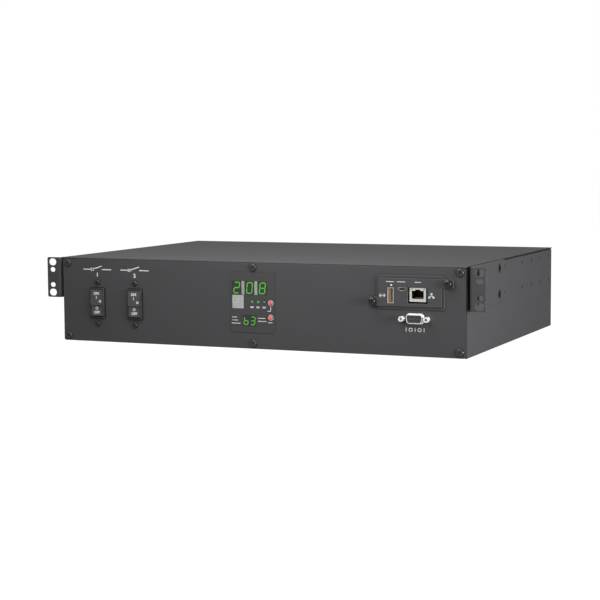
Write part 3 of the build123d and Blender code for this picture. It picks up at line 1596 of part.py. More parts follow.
save(group([floor_board(main_board_left, main_board_front, main_board_width, main_board_depth),
            floor_board(supply_board_left, supply_board_front, supply_board_width, supply_board_depth),
            riser_board()]), "floor_boards")
save(main_board_parts(), "main_board_parts")
save(supply_transformer(), "supply_transformer")
save(supply_capacitors(), "supply_capacitors")
save(current_rings(), "current_rings")
save(terminal_block(), "terminal_block")
save(ribbon_cables(), "ribbon_cables")
save(power_wires(), "power_wires")
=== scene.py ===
import math
import bmesh
import bpy
from mathutils import Matrix, Vector


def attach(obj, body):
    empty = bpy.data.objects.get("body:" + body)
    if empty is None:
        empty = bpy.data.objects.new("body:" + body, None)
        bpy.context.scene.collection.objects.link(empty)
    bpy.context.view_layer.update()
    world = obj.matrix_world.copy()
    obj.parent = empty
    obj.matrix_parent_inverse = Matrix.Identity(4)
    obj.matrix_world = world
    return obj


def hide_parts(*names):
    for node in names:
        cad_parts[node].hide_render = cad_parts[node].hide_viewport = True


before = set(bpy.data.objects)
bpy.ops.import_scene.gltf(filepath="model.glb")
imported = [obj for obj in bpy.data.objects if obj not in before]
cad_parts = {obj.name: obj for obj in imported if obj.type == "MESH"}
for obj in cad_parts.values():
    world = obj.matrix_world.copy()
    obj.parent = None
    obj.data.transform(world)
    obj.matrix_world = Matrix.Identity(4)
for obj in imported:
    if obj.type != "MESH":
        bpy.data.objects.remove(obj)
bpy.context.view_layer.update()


# Camera: it stands to the right of the front and a little above it, far off, with a long lens. It is rolled by
# a third of a degree, as it was for the photograph.
scene = bpy.context.scene
camera_place = Vector((0.6725, -1.585, 0.1978))
camera_yaw, camera_down, camera_roll = (math.radians(degrees) for degrees in (-23.539, 5.397, -0.367))
sensor_width, focal_length = 36, 96.1
farthest_seen = 50


def add_object(name, data):
    """A new object in the scene."""
    added = bpy.data.objects.new(name, data)
    scene.collection.objects.link(added)
    return added


camera_data = bpy.data.cameras.new("camera")
camera_data.sensor_width = sensor_width
camera_data.lens = focal_length
camera_data.clip_end = farthest_seen
camera = add_object("camera", camera_data)
scene.camera = camera
ahead = Vector((math.sin(camera_yaw) * math.cos(camera_down),
                math.cos(camera_yaw) * math.cos(camera_down),
                -math.sin(camera_down)))
level = Vector((math.cos(camera_yaw), -math.sin(camera_yaw), 0))
up = level.cross(ahead)
right_side = level * math.cos(camera_roll) + up * math.sin(camera_roll)
top_side = up * math.cos(camera_roll) - level * math.sin(camera_roll)
turn = Matrix((right_side, top_side, -ahead)).transposed()
camera.matrix_world = Matrix.Translation(camera_place) @ turn.to_4x4()


# Studio: a plain white paper floor and white surroundings. A large soft box hangs overhead, one stands at the
# right, a weak one hangs close over the front, and one stands at the front left.
class Signal:
    """One number of a material; Python sums on it add Math nodes."""

    def __init__(self, finish, socket):
        self.finish = finish
        self.socket = socket

    def sum(self, operation, *values):
        return self.finish.node("ShaderNodeMath", {"operation": operation}, dict(enumerate(values)))

    def __add__(self, other):
        return self.sum("ADD", self, other)

    def __radd__(self, other):
        return self.sum("ADD", other, self)

    def __sub__(self, other):
        return self.sum("SUBTRACT", self, other)

    def __rsub__(self, other):
        return self.sum("SUBTRACT", other, self)

    def __mul__(self, other):
        return self.sum("MULTIPLY", self, other)

    def __rmul__(self, other):
        return self.sum("MULTIPLY", other, self)

    def size(self):
        return self.sum("ABSOLUTE", self)

    def at_most(self, other):
        return self.sum("MINIMUM", self, other)

    def above(self, other):
        return self.sum("GREATER_THAN", self, other)

    def below(self, other):
        return self.sum("LESS_THAN", self, other)


class Nodes:
    """The node tree of a material or of the world."""

    def __init__(self, owner):
        owner.use_nodes = True
        self.tree = owner.node_tree

    def node(self, kind, settings=None, sockets=None, out=0):
        """One output of a new node; its sockets are fed numbers, colours or other outputs."""
        made = self.tree.nodes.new(kind)
        for name, value in (settings or {}).items():
            setattr(made, name, value)
        for name, value in (sockets or {}).items():
            self.feed(made.inputs[name], value)
        return Signal(self, made.outputs[out])

    def feed(self, socket, value):
        if isinstance(value, Signal):
            self.tree.links.new(value.socket, socket)
        else:
            socket.default_value = value


class Finish(Nodes):
    """A material, made from nodes; plain values go to the shader's own sockets."""

    def __init__(self, name, **plain):
        self.material = bpy.data.materials.new(name)
        super().__init__(self.material)
        self.shader = self.tree.nodes["Principled BSDF"]
        self.spot = None
        self.set(**plain)

    def set(self, **sockets):
        for socket, value in sockets.items():
            self.feed(self.shader.inputs[socket.replace("_", " ")], value)

    def place(self):
        """Where a point is on the object, in metres."""
        if self.spot is None:
            self.spot = self.node("ShaderNodeTexCoord", out="Object")
        return self.spot

    def along(self, axis):
        return self.node("ShaderNodeSeparateXYZ", sockets={0: self.place()}, out=axis)

    def noise(self, scale, detail=2.0, rough=0.5, stretch=None):
        spot = self.place()
        if stretch is not None:
            spot = self.node("ShaderNodeMapping", {"vector_type": "POINT"},
                             {"Vector": spot, "Scale": stretch})
        return self.node("ShaderNodeTexNoise", sockets={
            "Vector": spot, "Scale": scale, "Detail": detail, "Roughness": rough})

    def blend(self, first, second, share):
        return self.node("ShaderNodeMix", {"data_type": "RGBA"}, {0: share, 6: first, 7: second}, out=2)

    def rounded(self, radius):
        """The normal as if every edge were rounded to this radius."""
        return self.node("ShaderNodeBevel", {"samples": 6}, {"Radius": radius})

    def edge(self, rounded):
        """How near an edge a point is, by how far its rounded normal leans away from the flat one."""
        flat = self.node("ShaderNodeNewGeometry", out="Normal")
        same = self.node("ShaderNodeVectorMath", {"operation": "DOT_PRODUCT"}, {0: rounded, 1: flat},
                         out="Value")
        return 1 - same

    def hollows(self, reach, gain, most):
        """How far a point is shut in by what stands within this reach, from 0 on an open face to most."""
        openness = self.node("ShaderNodeAmbientOcclusion", {"samples": 6}, {"Distance": reach}, out="AO")
        return ((1 - openness) * gain).at_most(most)

    def bump(self, height, strength, distance, under=None):
        sockets = {"Height": height, "Strength": strength, "Distance": distance}
        if under is not None:
            sockets["Normal"] = under
        self.set(Normal=self.node("ShaderNodeBump", sockets=sockets))


def tone(red, green=None, blue=None):
    """A colour given as it looks on a screen, 0 to 255, or one grey."""
    values = (red, red if green is None else green, red if blue is None else blue)
    return tuple(((v / 255 + 0.055) / 1.055) ** 2.4 if v > 10 else v / 255 / 12.92 for v in values) + (1,)


floor_half = 12.0
floor_level = -0.0003
floor_glow = 0.93
paper_gloss = 0.2
paper_unevenness = 0.015
surround_light = 0.3
surround_gloss = 0.42
white = (1, 1, 1, 1)
black = (0, 0, 0, 1)
soft_boxes = (  # name, place, the point it is aimed at, side in metres, watts
    ("overhead", (-0.5, -0.2, 1.6), (-0.05, 0, 0), 1.3, 7.6),
    ("near_right", (0.95, -0.36, 0.04), (0.22, -0.13, 0.04), 0.36, 12.6),
    ("over_front", (0.02, -0.3, 0.3), (0.0, -0.15, 0.08), 0.36, 1.1),
    ("front", (-0.9, -1.7, 1.2), (-0.2, -0.15, 0.08), 0.9, 2.2),
)

white_paper = Finish("white_paper", Roughness=0.9, Specular_IOR_Level=0.1)
paper_cloud = white_paper.noise(scale=3.0) * paper_unevenness
white_paper.set(Base_Color=white_paper.blend(tone(122), tone(126), paper_cloud))
seen_directly = white_paper.node("ShaderNodeLightPath", out="Is Camera Ray")
seen_in_gloss = white_paper.node("ShaderNodeLightPath", out="Is Glossy Ray")
seen_through = white_paper.node("ShaderNodeLightPath", out="Is Transmission Ray")
seen = seen_directly + seen_in_gloss * paper_gloss + seen_through
glow = white_paper.node("ShaderNodeEmission", sockets={"Color": white, "Strength": floor_glow})
no_glow = white_paper.node("ShaderNodeEmission", sockets={"Color": black, "Strength": 0.0})
paper_glow = white_paper.node("ShaderNodeMixShader", sockets={0: seen, 1: no_glow, 2: glow})
paper_bounce = Signal(white_paper, white_paper.shader.outputs[0])
lit_paper = white_paper.node("ShaderNodeAddShader", sockets={0: paper_glow, 1: paper_bounce})
white_paper.feed(white_paper.tree.nodes["Material Output"].inputs["Surface"], lit_paper)

floor_mesh = bpy.data.meshes.new("floor")
floor_signs = ((-1, -1), (1, -1), (1, 1), (-1, 1))
floor_corners = [(x * floor_half, y * floor_half, floor_level) for x, y in floor_signs]
floor_mesh.from_pydata(floor_corners, [], [(0, 1, 2, 3)])
floor_mesh.materials.append(white_paper.material)
floor = add_object("floor", floor_mesh)

world = bpy.data.worlds.new("studio")
scene.world = world
surroundings = Nodes(world)
room_seen = surroundings.node("ShaderNodeLightPath", out="Is Camera Ray")
room_in_gloss = surroundings.node("ShaderNodeLightPath", out="Is Glossy Ray")
room_light = surround_light + room_in_gloss * (surround_gloss - surround_light)
room = surroundings.node("ShaderNodeBackground", sockets={"Color": white, "Strength": room_light})
backdrop = surroundings.node("ShaderNodeBackground", sockets={"Color": white, "Strength": 1.0})
whole_room = surroundings.node("ShaderNodeMixShader", sockets={0: room_seen, 1: room, 2: backdrop})
surroundings.feed(surroundings.tree.nodes["World Output"].inputs["Surface"], whole_room)

for name, place, target, side, watts in soft_boxes:
    lamp = bpy.data.lights.new(name, "AREA")
    lamp.shape = "SQUARE"
    lamp.size = side
    lamp.energy = watts
    aim = Vector(target) - Vector(place)
    holder = add_object(name, lamp)
    holder.matrix_world = Matrix.Translation(place) @ aim.to_track_quat("-Z", "Y").to_matrix().to_4x4()

scene.view_settings.view_transform = "Standard"


# Enclosure: tray, cover, two panels and two rack ears, folded from 1.2 to 2 mm steel and coated with a fine
# black powder. The ears are screwed to the sides and the panels to the tray's inward flanges.
def dress(finish, *names):
    """Give CAD nodes this finish."""
    for name in names:
        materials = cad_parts[name].data.materials
        if len(materials) == 0:
            materials.append(finish.material)
        for index in range(len(materials)):
            materials[index] = finish.material


# Painted shade: the tone for gaps and seams, and the tone for hollows.
painted_gap_shade, painted_hollow_shade = 16, 14
tray_front_edge = -0.153
squarely = 0.5


def powder_coat(name, low, high, edge_highlight_shade=118, edge_highlight_share=0.5, rim=None):
    """A fine grained coat with a painted highlight along its edges, painted shade in its hollows, and painted
    shade on the faces that rim picks out.
    """
    coat = Finish(name, Specular_IOR_Level=0.42)
    grain = coat.noise(scale=1900, detail=3, rough=0.6)
    cloud = coat.noise(scale=22, detail=3)
    rounded = coat.rounded(radius=0.0005)
    # Painted highlight: edges are lightened, patchily, where the rounded normal leans away from the flat one.
    edge_highlight = (coat.edge(rounded) * 3.0 * coat.noise(scale=260, detail=4)).at_most(edge_highlight_share)
    colour = coat.blend(tone(low, low, low + 2), tone(high, high, high + 2), cloud * 0.6 + grain * 0.4)
    colour = coat.blend(colour, tone(edge_highlight_shade), edge_highlight)
    # Painted shade: the faces that rim picks are darkened for the shade of gaps and seams.
    if rim is not None:
        colour = coat.blend(colour, tone(painted_gap_shade), rim(coat))
    # Painted shade: hollows are darkened by how shut in they are.
    colour = coat.blend(colour, tone(painted_hollow_shade), coat.hollows(reach=0.0016, gain=1.5, most=0.85))
    coat.set(Base_Color=colour, Roughness=0.48 + grain * 0.12 + cloud * 0.05)
    coat.bump(grain, strength=0.16, distance=0.00012, under=rounded)
    return coat


def faces_along(coat, axis):
    """How squarely a point faces along an axis, either way."""
    normal = coat.node("ShaderNodeNewGeometry", out="Normal")
    return coat.node("ShaderNodeSeparateXYZ", sockets={0: normal}, out=axis).size()


black_coat = powder_coat("black_powder_coat", 64, 71)
dress(black_coat, "ear_bracket_right", "ear_bracket_left", "card_slot_frame")
# Painted shade: the tray's faces in front of the panel's edge are painted dark, for the shaded gap there.
tray_coat = powder_coat("tray_powder_coat", 64, 71, rim=lambda coat: coat.along("Y").below(tray_front_edge))
dress(tray_coat, "chassis_tray")
# Painted shade: the cover's side faces are painted dark, for the shaded seam under its edge.
cover_coat = powder_coat("cover_powder_coat", 64, 71, rim=lambda coat: faces_along(coat, "X").above(squarely))
dress(cover_coat, "top_cover")
# Painted shade: the panels' cut edges are painted dark.
panel_coat = powder_coat("panel_powder_coat", 64, 71, rim=lambda coat: faces_along(coat, "Y").below(squarely))
dress(panel_coat, "front_panel", "rear_panel")
# Painted highlight: the faceplate's edges are painted far lighter, for the light its top edge catches.
card_coat = powder_coat("card_powder_coat", 65, 72, edge_highlight_shade=168, edge_highlight_share=0.85)
dress(card_coat, "card_faceplate")


# Screws: pan head panel and breaker screws with a cross recess, and countersunk ear screws with a hexagon
# socket, all of steel blackened by oxide. The clinch nuts that take screws are pressed into the sheet.
def oxide(name, shade, rough, oil=0.0):
    """Blackened steel, cloudy, with painted shade in its recesses, under a film of oil or lacquer."""
    metal = Finish(name, Metallic=0.35, Specular_IOR_Level=0.55, Coat_Weight=oil, Coat_Roughness=0.12)
    cloud = metal.noise(scale=420, detail=3)
    colour = metal.blend(tone(shade), tone(shade + 14), cloud)
    # Painted shade: recesses such as the cross recess are darkened by how shut in they are.
    colour = metal.blend(colour, tone(6), metal.hollows(reach=0.0012, gain=1.6, most=0.9))
    metal.set(Base_Color=colour, Roughness=rough + cloud * 0.12)
    metal.bump(metal.noise(scale=2600), strength=0.1, distance=0.00005, under=metal.rounded(radius=0.00035))
    return metal


black_oxide = oxide("black_oxide", 22, 0.22, oil=1.0)
dress(black_oxide, "breaker_screws", "card_thumbscrews")
dark_oxide = oxide("dark_oxide", 8, 0.5)
dress(dark_oxide, "ear_bracket_screws", "clinch_nuts")
coated_screw = oxide("coated_screw", 56, 0.3, oil=0.6)
dress(coated_screw, "front_panel_screws", "rear_panel_screws")


# Breakers: glass filled nylon cases behind the panel, each held by two screws, with a glossy rocker that turns
# on two stub pins. The rocker's marks are printed on its two faces in white ink.
def moulded(name, shade, rough, grain=0.06):
    """Moulded plastic of one grey or one colour, with a fine grain and painted shade in its hollows."""
    colour = shade if isinstance(shade, tuple) else (shade, shade, shade)
    lighter = tuple(min(255, value * 1.12 + 3) for value in colour)
    plastic = Finish(name, Specular_IOR_Level=0.5)
    fine = plastic.noise(scale=3000, detail=2)
    body = plastic.blend(tone(*colour), tone(*lighter), plastic.noise(scale=120, detail=3))
    # Painted shade: hollows are darkened by how shut in they are.
    body = plastic.blend(body, tone(8), plastic.hollows(reach=0.0012, gain=1.2, most=0.8))
    plastic.set(Base_Color=body, Roughness=rough + fine * grain)
    plastic.bump(fine, strength=0.08, distance=0.00006, under=plastic.rounded(radius=0.00025))
    return plastic


def printing_ink(name, fresh, worn, scale=700):
    """Screen printed ink, a little uneven."""
    layer = Finish(name, Roughness=0.55, Specular_IOR_Level=0.3)
    layer.set(Base_Color=layer.blend(tone(fresh), tone(worn), layer.noise(scale=scale, detail=4)))
    return layer


bezel_nylon = moulded("bezel_nylon", 40, 0.45)
dress(bezel_nylon, "breaker_1_case", "breaker_2_case")
rocker_nylon = moulded("rocker_nylon", 72, 0.3)
dress(rocker_nylon, "breaker_1_rocker", "breaker_2_rocker")
ink = printing_ink("white_ink", 236, 222)
print_thick, print_sunk = 0.00006, 0.00001
cap_share = 0.69
ring_sides = 40


def new_piece(name, mesh, finish, body="enclosure"):
    """An object for a finished mesh, riding on a body; without a finish the mesh keeps its own."""
    if finish is not None:
        mesh.materials.clear()
        mesh.materials.append(finish.material)
    piece = add_object(name, mesh)
    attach(piece, body)
    return piece


def grown_mesh(holder):
    """The plain mesh that a curve or a modifier makes; its holder is deleted."""
    bpy.context.view_layer.update()
    mesh = bpy.data.meshes.new_from_object(holder.evaluated_get(bpy.context.evaluated_depsgraph_get()))
    bpy.data.objects.remove(holder)
    return mesh


def closed_mesh(name, shape):
    """A drawn shape as a mesh, its faces turned outward."""
    bmesh.ops.recalc_face_normals(shape, faces=shape.faces)
    mesh = bpy.data.meshes.new(name)
    shape.to_mesh(mesh)
    shape.free()
    return mesh


def letter_mesh(text, height, boldness):
    """Letters of this cap height in millimetres, centred, as a thin closed mesh."""
    curve = bpy.data.curves.new("letters", "FONT")
    curve.body = text
    curve.align_x = "CENTER"
    curve.size = height / 1000 / cap_share
    curve.offset = boldness / 1000
    curve.extrude = print_thick / 2
    curve.resolution_u = 3
    mesh = grown_mesh(add_object("letters", curve))
    bpy.data.curves.remove(curve)
    mesh.transform(Matrix.Translation((0, -height / 2000, 0)))
    return mesh


def stroke_mesh(strokes=(), width=0.6, boxes=(), rings=()):
    """Straight strokes, filled boxes and rings in millimetres, as one thin closed mesh in X and Y."""
    drawing = bmesh.new()
    half = print_thick / 2

    def slab(points):
        low = [drawing.verts.new((x / 1000, y / 1000, -half)) for x, y in points]
        high = [drawing.verts.new((x / 1000, y / 1000, half)) for x, y in points]
        drawing.faces.new(high)
        drawing.faces.new(list(reversed(low)))
        for i in range(len(points)):
            j = (i + 1) % len(points)
            drawing.faces.new((low[i], low[j], high[j], high[i]))

    def loop(x, y, radius, height):
        turns = [2 * math.pi * i / ring_sides for i in range(ring_sides)]
        spots = [(x + radius * math.cos(t), y + radius * math.sin(t)) for t in turns]
        return [drawing.verts.new((u / 1000, v / 1000, height)) for u, v in spots]

    for x0, y0, x1, y1 in strokes:
        along = Vector((x1 - x0, y1 - y0)).normalized() * width / 2
        across = Vector((-along.y, along.x))
        start, end = Vector((x0, y0)) - along, Vector((x1, y1)) + along
        slab([start - across, end - across, end + across, start + across])
    for x0, y0, x1, y1 in boxes:
        slab([(x0, y0), (x1, y0), (x1, y1), (x0, y1)])
    for x, y, inner, outer in rings:
        section = ((inner, -half), (outer, -half), (outer, half), (inner, half))
        loops = [loop(x, y, radius, height) for radius, height in section]
        for near, far in zip(loops, loops[1:] + loops[:1]):
            for i in range(ring_sides):
                j = (i + 1) % ring_sides
                drawing.faces.new((near[i], far[i], far[j], near[j]))
    return closed_mesh("drawing", drawing)


def joined(meshes):
    """Several meshes as one."""
    whole = bmesh.new()
    for mesh in meshes:
        whole.from_mesh(mesh)
        bpy.data.meshes.remove(mesh)
    mesh = bpy.data.meshes.new("joined")
    whole.to_mesh(mesh)
    whole.free()
    return mesh


def placed(mesh, x, face, z, rear=False):
    """A drawing laid on a front or rear face, a hair sunk into it, with x and z in millimetres across it."""
    lift = print_thick / 2 - print_sunk
    turn = Matrix.Rotation(math.pi / 2, 4, "X")
    if rear:
        turn = Matrix.Rotation(math.pi, 4, "Z") @ turn
    mesh.transform(Matrix.Translation((x / 1000, face / 1000 + (lift if rear else -lift), z / 1000)) @ turn)
    return mesh


breaker_columns = (-178.2, -134.3)
on_face, off_face = -158.5, -157.5
rocker_marks = (  # text, cap height, boldness, shift from the breaker's middle, face, height above the floor
    ("ON", 2.7, 0.18, -0.2, on_face, 50.4),
    ("I", 2.7, 0.18, -0.2, on_face, 46.2),
    ("15", 2.2, 0.2, 3.9, on_face, 42.2),
    ("O", 2.7, 0.18, -0.2, off_face, 34.9),
    ("OFF", 2.7, 0.18, -0.2, off_face, 30.7),
)
for number, x in enumerate(breaker_columns, 1):
    marks = [placed(letter_mesh(text, height, boldness), x + shift, face, z)
             for text, height, boldness, shift, face, z in rocker_marks]
    new_piece(f"rocker_{number}_marks", joined(marks), ink, body=f"rocker_{number}")


# Outlets: two banks of eight outlets and two high current outlets, moulded in glass filled nylon and held in
# the rear panel, with plated contacts behind their slots.
case_nylon = moulded("case_nylon", 16, 0.5)
dress(case_nylon, "outlets_bank_1_lower", "outlets_bank_1_upper", "outlets_bank_2_lower",
      "outlets_bank_2_upper", "high_current_outlets")
gold = Finish("gold_contact", Metallic=1.0, Roughness=0.25)
gold.set(Base_Color=gold.blend(tone(214, 172, 92), tone(190, 146, 72), gold.noise(scale=900)))
dress(gold, "outlet_contacts")


# Screw shade rings: a thin black ring round the head of each of the twelve panel screws, a dark piece that
# paints the shade round the heads.
def repeated(name, places, ring, reach, thick, finish):
    """Rings of this radius or bars of this length, of round section, grown at places by Geometry Nodes."""
    tree = bpy.data.node_groups.new(name, "GeometryNodeTree")
    named = {}
    for label, way, kind in (("Places", "INPUT", "Geometry"), ("Reach", "INPUT", "Float"),
                             ("Thickness", "INPUT", "Float"), ("Finish", "INPUT", "Material"),
                             ("Pieces", "OUTPUT", "Geometry")):
        made = tree.interface.new_socket(label, in_out=way, socket_type="NodeSocket" + kind)
        named[label] = made.identifier
    given = tree.nodes.new("NodeGroupInput")
    result = tree.nodes.new("NodeGroupOutput")

    def step(kind, links, mode=None, **plain):
        made = tree.nodes.new("GeometryNode" + kind)
        if mode is not None:
            made.mode = mode
        for socket, value in plain.items():
            made.inputs[socket.replace("_", " ")].default_value = value
        for socket, source in links.items():
            tree.links.new(source, made.inputs[socket])
        return made.outputs[0]

    if ring:
        path = step("CurvePrimitiveCircle", {"Radius": given.outputs["Reach"]}, Resolution=48)
    else:
        path = step("CurvePrimitiveLine", {"Length": given.outputs["Reach"]}, mode="DIRECTION",
                    Direction=(0, 0, 1))
    section = step("CurvePrimitiveCircle", {"Radius": given.outputs["Thickness"]}, Resolution=10)
    piece = step("CurveToMesh", {"Curve": path, "Profile Curve": section}, Fill_Caps=True)
    points = step("MeshToPoints", {"Mesh": given.outputs["Places"]})
    copies = step("InstanceOnPoints", {"Points": points, "Instance": piece}, Rotation=(math.pi / 2, 0, 0))
    plain_mesh = step("RealizeInstances", {"Geometry": copies})
    finished = step("SetMaterial", {"Geometry": plain_mesh, "Material": given.outputs["Finish"]})
    tree.links.new(finished, result.inputs["Pieces"])

    spots = bpy.data.meshes.new(name + "_places")
    spots.from_pydata([(x / 1000, y / 1000, z / 1000) for x, y, z in places], [], [])
    holder = add_object(name + "_places", spots)
    modifier = holder.modifiers.new("grow", "NODES")
    modifier.node_group = tree
    for label, value in (("Reach", reach / 1000), ("Thickness", thick / 1000), ("Finish", finish.material)):
        modifier[named[label]] = value
    shape = bmesh.new()
    shape.from_mesh(grown_mesh(holder))
    return new_piece(name, closed_mesh(name, shape), finish)


screw_columns, screw_rows = (-213.5, -0.9, 213.5), (5.7, 81.3)
shade_ring_radius, shade_ring_thick, shade_ring_face = 3.95, 0.3, 156.15
# Painted shade: each ring is a dark piece standing for the shade round a screw head.
for name, face in (("front_screw_shade_rings", -shade_ring_face), ("rear_screw_shade_rings", shade_ring_face)):
    places = [(x, face, z) for x in screw_columns for z in screw_rows]
    repeated(name, places, ring=True, reach=shade_ring_radius, thick=shade_ring_thick, finish=case_nylon)


# Cord gland: a nylon body with a locknut behind the rear panel, and a dome nut that grips the supply cord. The
# fine grip ribs round the dome nut are moulded in one with it.
dress(case_nylon, "cord_gland_body", "cord_gland_dome_nut", "cord_gland_locknut")
gland_x, gland_z = -189.0, 43.5
rib_ring, rib_count, rib_end, rib_length, rib_thick = 12.3, 24, 173.0, 9.0, 0.5
turns = [2 * math.pi * i / rib_count for i in range(rib_count)]
places = [(gland_x + rib_ring * math.cos(t), rib_end, gland_z + rib_ring * math.sin(t)) for t in turns]
repeated("gland_nut_ribs", places, ring=False, reach=rib_length, thick=rib_thick, finish=case_nylon)


# Panel print: white ink on the front panel's powder coat. Over each breaker stand a plain breaker symbol and
# its number, and at the serial port a plain symbol.
panel_face = -156.0
breaker_symbol = [
    (-16, 0, -6, 0), (6, 0, 16, 0), (-7.2, -1.2, -4.8, 1.2), (-7.2, 1.2, -4.8, -1.2), (-6, 0, 5, 3.4),
]
symbol_z, number_z = 75.0, 69.6
for number, x in enumerate(breaker_columns, 1):
    marks = [
        placed(stroke_mesh(breaker_symbol, width=1.0), x, panel_face, symbol_z),
        placed(letter_mesh(str(number), height=3.6, boldness=0.26), x, panel_face, number_z),
    ]
    new_piece(f"breaker_{number}_label", joined(marks), ink)
serial_strokes = [(-9, -1.6, -9, 1.6), (0, -1.6, 0, 1.6), (9, -1.6, 9, 1.6)]
serial_rings = [(-4.5, 0, 1.3, 1.9), (4.5, 0, 1.3, 1.9)]
serial_x, serial_z = 169.0, 25.8
serial_symbol = stroke_mesh(serial_strokes, rings=serial_rings)
new_piece("serial_label", placed(serial_symbol, serial_x, panel_face, serial_z), ink)


# Display: a printed polyester overlay over a recess, green digits behind dark windows, small round lamps and
# two red push buttons with a white printed ring.
film = Finish("overlay_film", Specular_IOR_Level=0.4)
film_grain = film.noise(scale=1500, detail=2)
film.set(Base_Color=film.blend(tone(63), tone(69), film_grain), Roughness=0.5 + film_grain * 0.1)
film.bump(film_grain, strength=0.08, distance=0.00005)
dress(film, "display_overlay")

window_plastic = moulded("window_plastic", 46, 0.4)
dress(window_plastic, "voltage_display", "bank_display")

lit_digit = Finish("lit_digit", Roughness=0.5, Emission_Strength=0.8)
digit_colour = lit_digit.blend(tone(78, 176, 44), tone(104, 196, 66), lit_digit.noise(scale=900, detail=2))
lit_digit.set(Base_Color=tone(20, 52, 16), Emission_Color=digit_colour)
dress(lit_digit, "display_segments")

button_plastic = moulded("button_plastic", (222, 98, 106), 0.18)
dress(button_plastic, "select_button_upper", "select_button_lower")


def lens(name, dark, bright, glow):
    """Tinted lamp plastic that glows a little."""
    tint = Finish(name, Roughness=0.2, Emission_Strength=glow)
    cloud = tint.noise(scale=900)
    tint.set(Base_Color=tint.blend(tone(*dark), tone(*bright), cloud),
             Emission_Color=tint.blend(tone(*bright), tone(*dark), cloud))
    return tint


def dome_mesh(x, z, radius, face, rise, skirt=1.0, rings=6, around=28):
    """A round lens in millimetres: a shallow dome at the front and a straight skirt behind it."""
    shape = bmesh.new()
    leans = [math.pi / 2 * i / rings for i in range(1, rings + 1)]
    profile = [(radius * math.sin(lean), -rise * math.cos(lean)) for lean in leans] + [(radius, skirt)]
    tip = shape.verts.new((x / 1000, (face - rise) / 1000, z / 1000))
    end = shape.verts.new((x / 1000, (face + skirt) / 1000, z / 1000))
    turns = [2 * math.pi * i / around for i in range(around)]
    loops = [[shape.verts.new(((x + r * math.cos(t)) / 1000, (face + y) / 1000, (z + r * math.sin(t)) / 1000))
              for t in turns] for r, y in profile]
    for i in range(around):
        j = (i + 1) % around
        shape.faces.new((tip, loops[0][i], loops[0][j]))
        shape.faces.new((end, loops[-1][j], loops[-1][i]))
        for near, far in zip(loops, loops[1:]):
            shape.faces.new((near[i], far[i], far[j], near[j]))
    for side in shape.faces:
        side.smooth = True
    return closed_mesh("dome", shape)


film_face, status_face = -156.4, -158.3
lens_rise = 0.18
green_lens = lens("green_lens", (58, 128, 52), (96, 176, 84), glow=0.35)
pale_lens = lens("pale_lens", (150, 138, 148), (176, 164, 172), glow=0.1)
white_lens = lens("white_lens", (206, 206, 210), (228, 228, 232), glow=0.2)
tints = (green_lens, pale_lens, white_lens)
lamps = (  # x, z, radius, tint, face
    (-1.7, 47.1, 1.15, green_lens, film_face),
    (4.9, 47.1, 1.15, green_lens, film_face),
    (11.5, 47.1, 0.8, pale_lens, film_face),
    (-20.4, 48.0, 0.85, green_lens, film_face),
    (-14.3, 48.0, 0.85, pale_lens, film_face),
    (145.6, 68.1, 0.85, white_lens, status_face),
)
domes = []
for x, z, radius, tint, face in lamps:
    dome = dome_mesh(x, z, radius, face, lens_rise)
    dome.polygons.foreach_set("material_index", [tints.index(tint)] * len(dome.polygons))
    domes.append(dome)
lens_mesh = joined(domes)
for tint in tints:
    lens_mesh.materials.append(tint.material)
indicator_lenses = new_piece("indicator_lenses", lens_mesh, None)
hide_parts("indicator_leds")

grey_ink = printing_ink("grey_ink", 166, 140)
pale_ink = printing_ink("pale_ink", 186, 168, scale=900)
divider_boxes = [(-13.1, 54.15, -9.85, 67.45), (0.95, 54.15, 4.2, 67.45)]
new_piece("digit_dividers", placed(stroke_mesh(boxes=divider_boxes), 0, film_face, 0), grey_ink)
lamp_panel_box = (-23.2, 40.3, -10.9, 53.5)
new_piece("lamp_panel_print", placed(stroke_mesh(boxes=[lamp_panel_box]), 0, film_face, 0), pale_ink)
mark_starts, mark_rows, mark_length = (-22.6, -19.0, -15.0), (51.9, 50.7, 44.6, 42.6), 2.6
panel_marks = [(x, z, x + mark_length, z) for x in mark_starts for z in mark_rows]
over_panel = film_face - 0.05
new_piece("lamp_panel_marks", placed(stroke_mesh(panel_marks, width=0.35), 0, over_panel, 0), grey_ink)
dashes = [
    (-23.6, 31.4, -18.6, 31.4), (-23.4, 28.4, -17.6, 28.4), (-23.8, 25.3, -15.0, 25.3),
    (4.8, 31.0, 12.6, 31.0), (4.8, 28.0, 8.2, 28.0), (9.4, 28.0, 13.2, 28.0), (16.0, 27.0, 20.2, 27.0),
    (18.6, 42.6, 18.6, 38.3), (18.6, 38.3, 15.4, 38.3),
]
for lamp_x in (-1.7, 4.9, 11.5):
    dashes += [(lamp_x - 1.5, 42.3, lamp_x - 0.5, 42.3), (lamp_x + 0.5, 42.3, lamp_x + 1.5, 42.3),
               (lamp_x - 1.3, 41.3, lamp_x + 1.3, 41.3)]
button_rings = [(18.6, 31.9, 2.4, 2.85), (18.6, 46.3, 2.4, 2.85)]
new_piece("display_print", placed(stroke_mesh(dashes, rings=button_rings), 0, film_face, 0), ink)


# Rear print: the same white ink on the rear panel's coat. Each outlet has its number within its bank, and the
# earth symbol stands over the earthing stud.
rear_face = 156.0
bank_starts, bank_columns, outlet_pitch = (182.0, -4.0), 4, 34.0
number_rows = (79.3, 7.4)
earth_x, earth_z = -178.0, 70.0
rear_marks = []
for first_x in bank_starts:
    for column in range(bank_columns):
        for row, z in enumerate(number_rows):
            number = letter_mesh(str(1 + column + row * bank_columns), height=2.6, boldness=0.1)
            rear_marks.append(placed(number, first_x - column * outlet_pitch, rear_face, z, rear=True))
earth_strokes = [(0, 3.4, 0, 0.6), (-3, 0.6, 3, 0.6), (-2, -0.6, 2, -0.6), (-1, -1.8, 1, -1.8)]
rear_marks.append(placed(stroke_mesh(earth_strokes, width=0.55), earth_x, rear_face, earth_z, rear=True))
new_piece("rear_print", joined(rear_marks), ink)


